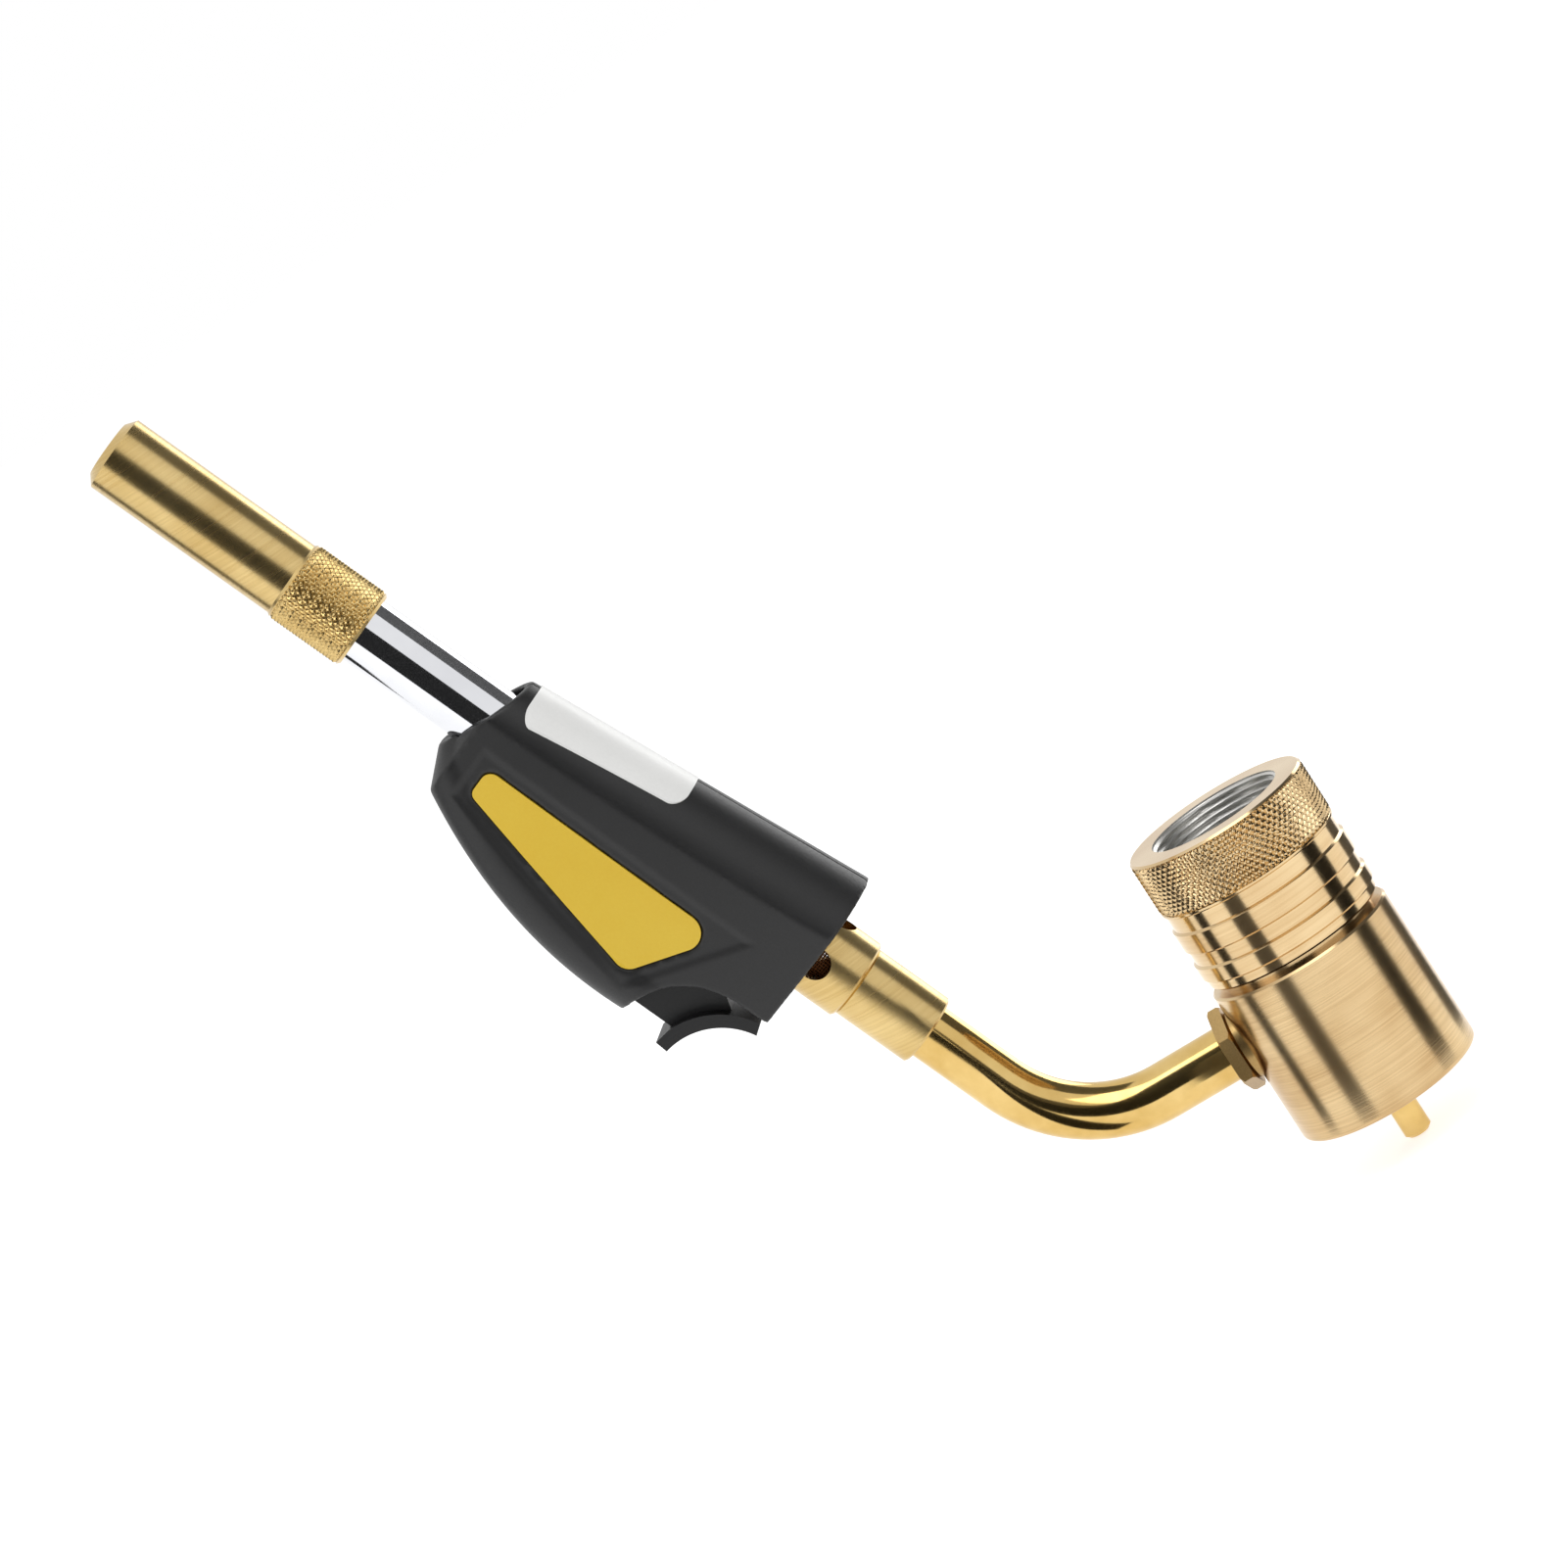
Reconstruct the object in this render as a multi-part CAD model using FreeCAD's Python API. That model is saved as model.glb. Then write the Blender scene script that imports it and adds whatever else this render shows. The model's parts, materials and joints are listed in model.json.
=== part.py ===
"""A hand torch for bottled gas, made of a regulator, a bent gas tube and a self-igniting burner.

The origin is the middle of the inlet's mouth, with +Z out of the mouth along the tank's axis.
The gas tube leaves the regulator along -X, and the burner lies in the XZ plane.
The burner group is drawn on its own axis, where X points away from the trigger, Z to the flame.
Sizes are in millimetres.
"""
import FreeCAD
import Part

import math
import os

from FreeCAD import Vector

# Fits
RUN = 0.05             # radial clearance of a turning or sliding fit, and end float
SEAT = 0.05            # clearance between pieces that are fixed to each other
FREE = 0.3             # gap between a moving piece and what it only passes

# Inlet coupling, which screws on the tank
THREAD_R = 12.7        # wall of the one-inch tank thread
THREAD_LENGTH = 10.0
RELIEF_R = 13.1
GRIP_R = 17.7          # knurled ring
GRIP_HEIGHT = 11.0
BARREL_R = 17.15       # plain barrel between the ridges
RIDGE_R = 17.7
RIDGES = ((14.2, 18.4), (21.3, 24.4))  # where each ridge starts and ends below the mouth
COUPLING_HEIGHT = 26.6
SHOULDER_TOP = -17.5
SHOULDER_THICK = 3.5
EDGE = 0.4             # small chamfer on turned edges

# Inlet nipple and its seals
FLANGE_R = 12.0
FLANGE_THICK = 2.45
SHANK_R = 7.45
NIPPLE_THREAD_R = 6.5
STEM_R = 2.6
STEM_HEIGHT = 4.8
GAS_PASSAGE_R = 1.0
SEAL_THICK = 1.5
SEAL_INSET = 2.0       # from the flange's edge to the seal's
FILTER_R = 4.0
FILTER_THICK = 2.0

# Regulator body
BODY_R = 17.75
BODY_HEIGHT = 31.0
SWIVEL_GAP = 1.4       # visible gap between coupling and body
BOSS_R = 15.0
O_RING_WIRE_R = 0.75
BODY_ROUND = 1.0
OUTLET_DROP = 11.0     # outlet axis below the body's top
POPPET_WELL_R = 4.5
CHAMBER_R = 13.0
CHAMBER_ABOVE = 3.0    # top of the gas chamber, above the outlet's axis
CHAMBER_ROOM = 0.8     # between the gas tube's underside and the diaphragm
WEB_THICK = 2.5
CAP_R = 15.0
DIAPHRAGM_THICK = 1.0
CAP_WALL = 2.1
CAP_FLOOR = 2.4
CAP_RECESS = 0.8       # depth of the clip's well in the cap
KEY_HOLE_R = 1.2       # two blind holes for the cap's key
KEY_HOLE_DEPTH = 1.5
PLATE_R = 8.0
PLATE_THICK = 1.5

# Valve and control spindle
SEAT_HOLE_R = 1.5
SEAT_THICK = 1.5
POPPET_HEAD_R = 3.0
POPPET_HEAD_THICK = 1.6
POPPET_STEM_R = 1.0
POPPET_FOOT_R = 4.0
POPPET_FOOT_THICK = 1.2
POPPET_WIRE_R = 0.25
THIN_WIRE_INSET = 0.6  # from the edge a thin spring pushes on to its wire's middle
SPINDLE_R = 2.65
SPINDLE_THREAD_R = 2.0
SPINDLE_OUT = 10.0     # length that stands out below the body
SPINDLE_COLLAR_R = 4.2
SPINDLE_COLLAR_THICK = 1.0
SPINDLE_SHORT = 1.2    # gap between the spindle's end and the diaphragm plate
SPINDLE_CHAMFER = 0.6
SPINDLE_RING_WIRE_R = 0.5
SPINDLE_RING_ROOM = 0.6  # half the width of the O-ring's groove
CLIP_GROOVE = 0.5      # depth of the clip's groove in the spindle
CLIP_GROOVE_WIDE = 0.6
CLIP_SLACK = 0.02
CLIP_OPENING = 2.8
SPRING_SEAT_R = 9.0
SPRING_SEAT_THICK = 1.2
SPRING_SEAT_HUB = 0.5
SPRING_R = 6.0
SPRING_WIRE_R = 0.5

# Outlet, nut and gas tube
TUBE_R = 5.2
TUBE_WALL = 1.0
BEND_R = 26.0
NUT_FLATS = 14.5
NUT_THICK = 2.5
COLLAR_R = 6.75
COLLAR_LENGTH = 1.9
NUT_CROWN = 0.5        # how far the nut's corners are turned off
PORT_DEPTH = 14.0      # where the tube's end stops, from the regulator's axis

# Burner axis, seen from the inlet's mouth
LEAN = 21.59           # degrees between the burner's axis and the inlet's
BURNER_OFFSET = 73.5
BURNER_RISE = 15.3

# Burner, measured along its axis towards the flame
FLAME_TUBE_R = 6.35
FLAME_TUBE_WALL = 1.0
HOLDER_R = 7.775
SLEEVE_R = 6.85
SLEEVE_LENGTH = 15.6
HOLDER_BACK = -8.8
HOLDER_FRONT = 14.0
HOLDER_WEB = 0.8       # thickness of the wall that carries the jet
AIR_HOLE_R = 3.0
AIR_HOLE_AT = -0.3
MIXING_R = 6.0
FLAME_TUBE_BACK = 5.0
TUBE_SOCKET = 12.4     # depth of the gas tube in its sleeve
GAUZE_THICK = 0.3
GAUZE_SLACK = 0.1
JET_R = 2.5
JET_BORE = 1.2
JET_ORIFICE = 0.3
TIP_R = 7.2
TIP_END_R = 5.35
TIP_MOUTH_R = 4.75
TIP_CHAMFER = 1.45
TIP_GRIP_R = 7.75
TIP_GRIP_LENGTH = 15.6
TIP_GRIP_CHAMFER = 0.7
TIP_LIP = 2.5          # depth of the narrower mouth
TIP_BACK = 98.5
TIP_LENGTH = 55.0
TIP_SOCKET = 19.5
FLAME_HOLDER_THICK = 5.0
SWIRL_SLOTS = 8
SWIRL_SLOT_DEPTH = 1.3
SWIRL_SLOT_WIDE = 1.0
SWIRL_LEAN = 30        # degrees
ELECTRODE_R = 0.5
INSULATOR_R = 1.5
ELECTRODE_OFFSET = 2.2
ELECTRODE_OUT = 6.0    # spark wire's length beyond its insulator

# Housing
HOUSING_LENGTH = 72.5
NOSE_LENGTH = 3.5
NOSE_CENTRE = 0.3      # the nose's front outline: its round top and its round bottom
NOSE_LOW_CENTRE = -5.2
NOSE_LOW_R = 3.8
SLANT_TOP = 4.7        # how far the front leans back at the barrel's top
SLANT_LOW = -9.0       # where the lean starts, from the burner's axis
WALL = 1.8
REAR_R = 13.1
REAR_CENTRE = 3.1
FRONT_R = 9.2
FRONT_CENTRE = 0.5
FIN_R = 7.5
FIN_DEPTH = 29.3       # deepest point of the fin, from the burner's axis
FIN_DEEPEST = 27.0
FIN_RISE = 12.6        # how far the fin's lower edge has risen at the front
SECTIONS = 6
UNDERSIDE = 14.1       # lower edge behind the trigger
TAIL = 21.5            # where the fin starts, in front of the trigger
SCREW_R = 1.1
SCREW_HEAD_R = 2.1
SCREW_HEAD_THICK = 1.4
SCREW_HEAD_SUNK = 0.1
SCREW_DEPTH = 5.0      # how far the near half's screw holes go in
SCREW_SLOT_DEPTH = 0.7
SCREW_SPOTS = ((10.6, 11.5), (-15.2, 66.5), (-23.4, 39.8))  # height above the axis, place along it
BOSS_WALL = 1.6
REAR_RIB = (5.0, 7.5)  # start and end of the wall round the jet holder
FRONT_RIB = (65.0, 68.0)
CRADLE_HALF_THICK = 1.0
CRADLE_ABOVE = 1.5     # the igniter's cradle above the igniter
CRADLE_PLACES = (2.5, 17.0)  # from the igniter's back
INLAY_THICK = 0.6
INLAY_SUNK = 0.3
INLAY_GAP = 0.2
INLAY_CORNERS = ((-5.4, 66.5), (-5.4, 15.6), (-21.6, 25.9), (-11.3, 66.5))
INLAY_ROUNDS = (2.2, 3.6, 3.0, 1.6)
STICKER_THICK = 0.2
STICKER_START = 35.2
STICKER_LENGTH = 32.0
STICKER_HALF_WIDTH = 8.6
STICKER_CORNER = 2.5

# Trigger and igniter
STEM_HALF_WIDTH = 3.0
STEM_TOP = -13.0
STEM_BOTTOM = -26.0
STEM_FRONT = 30.0
BLADE_HALF_WIDTH = 6.0
LUG_TOP = -14.0        # side lugs that stop the trigger on the rib
LUG_BOTTOM = -20.0
LUG_OUT = 1.4
RIB_START = 24.0
RIB_THICK = 4.0
PIEZO_DEPTH = 16.5     # igniter's axis below the burner's
PIEZO_R = 4.0
PIEZO_BACK = 40.0
PIEZO_LENGTH = 20.0
PIEZO_BORE_DEPTH = 12.0
PLUNGER_R = 2.9
TRIGGER_WIRE_R = 0.2
PLUNGER_LENGTH = 14.0
LEAD_R = 0.7
LEAD_BEND_R = 1.5
LEAD_AT = 62.5         # where the lead crosses into the flame tube

# Sizes that follow from the sizes above
FIN_CURVE = FIN_RISE / (HOUSING_LENGTH - FIN_DEEPEST) ** 2
CHAMBER_BELOW = TUBE_R + CHAMBER_ROOM
BODY_TOP = -(COUPLING_HEIGHT + SWIVEL_GAP)
BODY_BOTTOM = BODY_TOP - BODY_HEIGHT
SHOULDER_BOTTOM = SHOULDER_TOP - SHOULDER_THICK
BOSS_TOP = SHOULDER_BOTTOM - RUN
FLANGE_BOTTOM = SHOULDER_TOP + RUN
FLANGE_TOP = FLANGE_BOTTOM + FLANGE_THICK
OUTLET_Z = BODY_TOP - OUTLET_DROP
CHAMBER_TOP = OUTLET_Z + CHAMBER_ABOVE
CHAMBER_BOTTOM = OUTLET_Z - CHAMBER_BELOW
VALVE_SEAT_TOP = CHAMBER_TOP + WEB_THICK
DIAPHRAGM_BOTTOM = CHAMBER_BOTTOM - DIAPHRAGM_THICK
PLATE_BOTTOM = DIAPHRAGM_BOTTOM - PLATE_THICK
CAP_BOTTOM = BODY_BOTTOM + EDGE
CAP_FACE = CAP_BOTTOM + CAP_RECESS
CAP_INSIDE = CAP_FACE + CAP_FLOOR
SPOT_FACE = math.sqrt(BODY_R ** 2 - COLLAR_R ** 2) - SEAT
NUT_FACE = SPOT_FACE + COLLAR_LENGTH
TIP_FRONT = TIP_BACK + TIP_LENGTH
FLAME_TUBE_FRONT = TIP_BACK + TIP_SOCKET
SLEEVE_BACK = HOLDER_BACK - SLEEVE_LENGTH
GAS_TUBE_START = SLEEVE_BACK + TUBE_SOCKET
NOSE_FRONT = HOUSING_LENGTH + NOSE_LENGTH

UP = Vector(0, 0, 1)
BURNER = FreeCAD.Placement(Vector(-BURNER_OFFSET, 0, BURNER_RISE), FreeCAD.Rotation(Vector(0, 1, 0), -LEAN))
OUTLET = FreeCAD.Placement(Vector(0, 0, OUTLET_Z), FreeCAD.Rotation(Vector(0, 1, 0), -90))


def turned(outline):
    """A solid of revolution about Z from (radius, height) corners."""
    corners = [Vector(r, 0, z) for r, z in outline]
    corners.append(corners[0])
    solid = Part.Face(Part.makePolygon(corners)).revolve(Vector(), UP, 360)
    if solid.Volume < 0:
        solid.reverse()
    return solid


def tube(outer, inner, low, high):
    return turned([(inner, low), (outer, low), (outer, high), (inner, high)])


def rod(radius, low, high):
    return Part.makeCylinder(radius, high - low, Vector(0, 0, low))


def rod_along(radius, start, end):
    way = end - start
    return Part.makeCylinder(radius, way.Length, start, way)


def box(low, high):
    size = high - low
    return Part.makeBox(size.x, size.y, size.z, low)


def plate(outline, low, high):
    """A flat plate from a closed wire drawn at Y=0, reaching from low to high along Y."""
    face = Part.Face(outline)
    face.translate(Vector(0, low, 0))
    return face.extrude(Vector(0, high - low, 0))


def helical_spring(radius, wire_r, low, high, turns):
    """A round-wire spring about Z whose wire stays between the heights low and high."""
    span = high - low - 2 * wire_r
    path = Part.makeHelix(span / turns, span, radius)
    out, into = Vector(radius + wire_r, 0, 0), Vector(radius - wire_r, 0, 0)
    upper = Part.Arc(out, Vector(radius, 0, wire_r), into).toShape()
    lower = Part.Arc(into, Vector(radius, 0, -wire_r), out).toShape()
    coil = Part.Wire(path).makePipeShell([Part.Wire([upper, lower])], True, True)
    coil.translate(Vector(0, 0, low + wire_r))
    return coil


def o_ring(middle_r, wire_r, height):
    return Part.makeTorus(middle_r, wire_r, Vector(0, 0, height), UP)


def on_burner(shape):
    placed = shape.copy()
    placed.Placement = BURNER.multiply(placed.Placement)
    return placed


def on_outlet(shape):
    placed = shape.copy()
    placed.Placement = OUTLET.multiply(placed.Placement)
    return placed


# Inlet

def inlet_coupling():
    """Knurled ring and ridged barrel in one, hung on the nipple's flange by an inner shoulder."""
    outline = [(THREAD_R, 0), (GRIP_R - EDGE, 0), (GRIP_R, -EDGE), (GRIP_R, -GRIP_HEIGHT)]
    outline.append((BARREL_R, -GRIP_HEIGHT))
    for start, end in RIDGES:
        outline += [(BARREL_R, -start), (RIDGE_R, -start - EDGE), (RIDGE_R, -end), (BARREL_R, -end - EDGE)]
    outline += [(BARREL_R, -COUPLING_HEIGHT + EDGE), (BARREL_R - EDGE, -COUPLING_HEIGHT)]
    outline += [(BOSS_R + RUN, -COUPLING_HEIGHT), (BOSS_R + RUN, SHOULDER_BOTTOM)]
    outline += [(SHANK_R + RUN, SHOULDER_BOTTOM), (SHANK_R + RUN, SHOULDER_TOP)]
    outline += [(RELIEF_R, SHOULDER_TOP), (RELIEF_R, -THREAD_LENGTH), (THREAD_R, -THREAD_LENGTH)]
    return turned(outline)


def inlet_nipple():
    outline = [(GAS_PASSAGE_R, FLANGE_TOP + STEM_HEIGHT), (STEM_R - EDGE, FLANGE_TOP + STEM_HEIGHT)]
    outline += [(STEM_R, FLANGE_TOP + STEM_HEIGHT - EDGE), (STEM_R, FLANGE_TOP), (FLANGE_R, FLANGE_TOP)]
    outline += [(FLANGE_R, FLANGE_BOTTOM), (SHANK_R, FLANGE_BOTTOM), (SHANK_R, BOSS_TOP)]
    outline += [(NIPPLE_THREAD_R - SEAT, BOSS_TOP), (NIPPLE_THREAD_R - SEAT, BODY_TOP)]
    outline += [(FILTER_R, BODY_TOP), (FILTER_R, BODY_TOP + FILTER_THICK)]
    outline.append((GAS_PASSAGE_R, BODY_TOP + FILTER_THICK))
    return turned(outline)


def inlet_seal():
    return tube(FLANGE_R - SEAL_INSET, STEM_R + SEAT, FLANGE_TOP, FLANGE_TOP + SEAL_THICK)


def inlet_filter():
    return rod(FILTER_R - SEAT, BODY_TOP, BODY_TOP + FILTER_THICK)


# Regulator

def o_ring_height():
    return (BOSS_TOP - COUPLING_HEIGHT) / 2


def regulator_body():
    """Cylinder with a swivel boss on top, a valve well, a gas chamber and a screwed lower bore."""
    groove = (O_RING_WIRE_R + SEAT) * 2
    mid = o_ring_height()
    outline = [(NIPPLE_THREAD_R, BOSS_TOP), (BOSS_R, BOSS_TOP), (BOSS_R, mid + groove / 2)]
    outline += [(BOSS_R - groove, mid + groove / 2), (BOSS_R - groove, mid - groove / 2)]
    outline += [(BOSS_R, mid - groove / 2), (BOSS_R, BODY_TOP), (BODY_R - EDGE, BODY_TOP)]
    outline += [(BODY_R, BODY_TOP - EDGE), (BODY_R, BODY_BOTTOM), (CAP_R, BODY_BOTTOM)]
    outline += [(CAP_R, CHAMBER_BOTTOM), (CHAMBER_R, CHAMBER_BOTTOM), (CHAMBER_R, CHAMBER_TOP)]
    outline += [(SEAT_HOLE_R + 1, CHAMBER_TOP), (SEAT_HOLE_R + 1, VALVE_SEAT_TOP - SEAT_THICK)]
    outline += [(POPPET_WELL_R, VALVE_SEAT_TOP - SEAT_THICK), (POPPET_WELL_R, BODY_TOP)]
    outline.append((NIPPLE_THREAD_R, BODY_TOP))
    body = turned(outline)
    rim = [e for e in body.Edges if on_circle(e, BODY_R, BODY_BOTTOM)]
    body = body.makeFillet(BODY_ROUND, rim)
    body = body.cut(on_outlet(rod(COLLAR_R + SEAT, SPOT_FACE, BODY_R + 1)))
    body = body.cut(on_outlet(rod(TUBE_R + SEAT, PORT_DEPTH, BODY_R + 1)))
    return body.cut(on_outlet(rod(TUBE_R - TUBE_WALL, CHAMBER_R - 1, BODY_R)))


def on_circle(edge, radius, height):
    curve = edge.Curve
    if not isinstance(curve, Part.Circle):
        return False
    return abs(curve.Radius - radius) < 0.01 and abs(curve.Center.z - height) < 0.01


def swivel_o_ring():
    middle = BOSS_R - O_RING_WIRE_R - SEAT
    return o_ring(middle, O_RING_WIRE_R - SEAT, o_ring_height())


def valve_seat():
    return tube(POPPET_WELL_R - SEAT, SEAT_HOLE_R, VALVE_SEAT_TOP - SEAT_THICK, VALVE_SEAT_TOP)


def poppet_head_top():
    return VALVE_SEAT_TOP + RUN + POPPET_HEAD_THICK


def valve_poppet():
    """Valve head, thin stem and the foot that rests on the diaphragm."""
    head_bottom = VALVE_SEAT_TOP + RUN
    foot_top = CHAMBER_BOTTOM + POPPET_FOOT_THICK
    outline = [(0, poppet_head_top()), (POPPET_HEAD_R, poppet_head_top()), (POPPET_HEAD_R, head_bottom)]
    outline += [(POPPET_STEM_R, head_bottom), (POPPET_STEM_R, foot_top)]
    outline += [(POPPET_FOOT_R, foot_top), (POPPET_FOOT_R, CHAMBER_BOTTOM), (0, CHAMBER_BOTTOM)]
    return turned(outline)


def poppet_spring():
    return helical_spring(POPPET_HEAD_R - THIN_WIRE_INSET, POPPET_WIRE_R, poppet_head_top(), BODY_TOP, 2.5)


def diaphragm():
    return rod(CAP_R - SEAT, DIAPHRAGM_BOTTOM, CHAMBER_BOTTOM)


def diaphragm_plate():
    return rod(PLATE_R, PLATE_BOTTOM, DIAPHRAGM_BOTTOM)


def collar_top():
    return CAP_INSIDE + RUN + SPINDLE_COLLAR_THICK


def spring_seat_bottom():
    return collar_top() + FREE


def spring_seat():
    """Disc with a short hub that climbs the spindle's thread."""
    low = spring_seat_bottom()
    top = low + SPRING_SEAT_THICK
    bore = SPINDLE_THREAD_R + RUN
    hub_r = SPRING_R - 3 * SPRING_WIRE_R
    outline = [(bore, low), (SPRING_SEAT_R, low), (SPRING_SEAT_R, top), (hub_r, top)]
    outline += [(hub_r, top + SPRING_SEAT_HUB), (bore, top + SPRING_SEAT_HUB)]
    return turned(outline)


def regulator_spring():
    return helical_spring(SPRING_R, SPRING_WIRE_R, spring_seat_bottom() + SPRING_SEAT_THICK, PLATE_BOTTOM, 3)


def regulator_cap():
    """Screwed cup that clamps the diaphragm and guides the spindle."""
    inner = CAP_R - CAP_WALL
    bore = SPINDLE_R + RUN
    groove_r = SPINDLE_R + 2 * SPINDLE_RING_WIRE_R + SEAT
    mid = (CAP_FACE + CAP_INSIDE) / 2
    groove_low, groove_high = mid - SPINDLE_RING_ROOM, mid + SPINDLE_RING_ROOM
    clip_well_r = SPINDLE_COLLAR_R + FREE
    outline = [(CAP_R - SEAT, CAP_BOTTOM), (CAP_R - SEAT, DIAPHRAGM_BOTTOM), (inner, DIAPHRAGM_BOTTOM)]
    outline += [(inner, CAP_INSIDE), (bore, CAP_INSIDE), (bore, groove_high), (groove_r, groove_high)]
    outline += [(groove_r, groove_low), (bore, groove_low), (bore, CAP_FACE)]
    outline += [(clip_well_r, CAP_FACE), (clip_well_r, CAP_BOTTOM)]
    cap = turned(outline)
    for side in (-1, 1):
        hole = rod(KEY_HOLE_R, CAP_BOTTOM - KEY_HOLE_DEPTH, CAP_BOTTOM + KEY_HOLE_DEPTH)
        hole.translate(Vector(0, side * (CAP_R + SPINDLE_COLLAR_R) / 2, 0))
        cap = cap.cut(hole)
    return cap


def spindle_o_ring():
    middle = SPINDLE_R + RUN + SPINDLE_RING_WIRE_R
    return o_ring(middle, SPINDLE_RING_WIRE_R - SEAT / 2, (CAP_FACE + CAP_INSIDE) / 2)


def control_spindle():
    """Pin with a thrust collar inside the cap and a thinner threaded end in the spring seat."""
    tip = BODY_BOTTOM - SPINDLE_OUT
    groove_r = SPINDLE_R - CLIP_GROOVE
    clip_top = CAP_FACE - RUN
    clip_low = clip_top - CLIP_GROOVE_WIDE
    outline = [(0, tip), (SPINDLE_R - SPINDLE_CHAMFER, tip), (SPINDLE_R, tip + SPINDLE_CHAMFER)]
    outline += [(SPINDLE_R, clip_low), (groove_r, clip_low), (groove_r, clip_top), (SPINDLE_R, clip_top)]
    outline += [(SPINDLE_R, CAP_INSIDE + RUN), (SPINDLE_COLLAR_R, CAP_INSIDE + RUN)]
    outline += [(SPINDLE_COLLAR_R, collar_top()), (SPINDLE_THREAD_R, collar_top())]
    outline += [(SPINDLE_THREAD_R, PLATE_BOTTOM - SPINDLE_SHORT), (0, PLATE_BOTTOM - SPINDLE_SHORT)]
    return turned(outline)


def spindle_clip():
    """Spring clip in the spindle's groove, under the cap."""
    clip_top = CAP_FACE - RUN
    low = clip_top - CLIP_GROOVE_WIDE
    ring = tube(SPINDLE_COLLAR_R, SPINDLE_R - CLIP_GROOVE + CLIP_SLACK, low + CLIP_SLACK, clip_top - CLIP_SLACK)
    gap = box(Vector(0, -CLIP_OPENING / 2, low), Vector(SPINDLE_COLLAR_R + 1, CLIP_OPENING / 2, clip_top))
    return ring.cut(gap)


# Outlet and gas tube

def lock_nut():
    """Thin hexagon nut with two corners pointing up and down."""
    corner_r = NUT_FLATS / math.sqrt(3)
    ring = [Vector(corner_r * math.cos(math.radians(60 * i)), corner_r * math.sin(math.radians(60 * i)), 0)
            for i in range(7)]
    hexagon = Part.Face(Part.makePolygon(ring)).extrude(Vector(0, 0, NUT_THICK))
    crown = corner_r - NUT_CROWN
    wide = corner_r + NUT_CROWN
    slope = NUT_THICK / 3
    cone = turned([(0, 0), (crown, 0), (wide, slope), (wide, NUT_THICK - slope), (crown, NUT_THICK),
                   (0, NUT_THICK)])
    nut = hexagon.common(cone)
    nut.translate(Vector(0, 0, NUT_FACE))
    return on_outlet(nut.cut(rod(TUBE_R + SEAT, 0, BODY_R + 10)))


def outlet_collar():
    collar = turned([(TUBE_R + SEAT, SPOT_FACE), (COLLAR_R, SPOT_FACE), (COLLAR_R, NUT_FACE - EDGE),
                     (COLLAR_R - EDGE, NUT_FACE), (TUBE_R + SEAT, NUT_FACE)])
    return on_outlet(collar)


def gas_tube_path():
    """Straight run down the burner's axis, one bend, and a straight run into the regulator."""
    lean = math.radians(LEAN)
    down = Vector(math.sin(lean), 0, -math.cos(lean))
    start = BURNER.multVec(Vector(0, 0, GAS_TUBE_START))
    corner_run = (start.z - OUTLET_Z) / -down.z
    corner = start + down * corner_run
    turn = math.pi / 2 - lean
    setback = BEND_R * math.tan(turn / 2)
    into = corner - down * setback
    out = corner + Vector(setback, 0, 0)
    chord_way = Vector(-down.x + 1, 0, -down.z)
    chord_way.normalize()
    centre = corner + chord_way * (BEND_R / math.cos(turn / 2))
    middle = centre - chord_way * BEND_R
    end = Vector(-PORT_DEPTH, 0, OUTLET_Z)
    edges = [Part.LineSegment(start, into).toShape(), Part.Arc(into, middle, out).toShape()]
    edges.append(Part.LineSegment(out, end).toShape())
    return Part.Wire(edges), start, down


def bent_tube():
    path, start, down = gas_tube_path()
    outer = path.makePipe(Part.Face(Part.Wire(Part.makeCircle(TUBE_R, start, down))))
    inner = path.makePipe(Part.Face(Part.Wire(Part.makeCircle(TUBE_R - TUBE_WALL, start, down))))
    return outer.cut(inner)


# Burner

def jet_holder():
    """Flange with four air ports, and the sleeve that takes the gas tube."""
    socket_r = TUBE_R + SEAT
    web_back = GAS_TUBE_START
    web_front = HOLDER_BACK + HOLDER_WEB
    outline = [(socket_r, SLEEVE_BACK), (SLEEVE_R - EDGE, SLEEVE_BACK), (SLEEVE_R, SLEEVE_BACK + EDGE)]
    outline += [(SLEEVE_R, HOLDER_BACK - EDGE), (SLEEVE_R - EDGE / 2, HOLDER_BACK), (HOLDER_R - EDGE, HOLDER_BACK)]
    outline += [(HOLDER_R, HOLDER_BACK + EDGE), (HOLDER_R, HOLDER_FRONT)]
    outline += [(FLAME_TUBE_R + SEAT, HOLDER_FRONT), (FLAME_TUBE_R + SEAT, FLAME_TUBE_BACK)]
    outline += [(MIXING_R, FLAME_TUBE_BACK), (MIXING_R, web_front), (JET_R, web_front), (JET_R, web_back)]
    outline.append((socket_r, web_back))
    holder = turned(outline)
    reach = HOLDER_R + 1
    for way in (Vector(1, 0, 0), Vector(0, 1, 0)):
        middle = Vector(0, 0, AIR_HOLE_AT)
        holder = holder.cut(rod_along(AIR_HOLE_R, middle - way * reach, middle + way * reach))
    return holder


def gauze_screen():
    outer = MIXING_R - GAUZE_SLACK
    low = AIR_HOLE_AT - AIR_HOLE_R - 3 * GAUZE_THICK
    return tube(outer, outer - GAUZE_THICK, low, FLAME_TUBE_BACK - GAUZE_SLACK)


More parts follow.
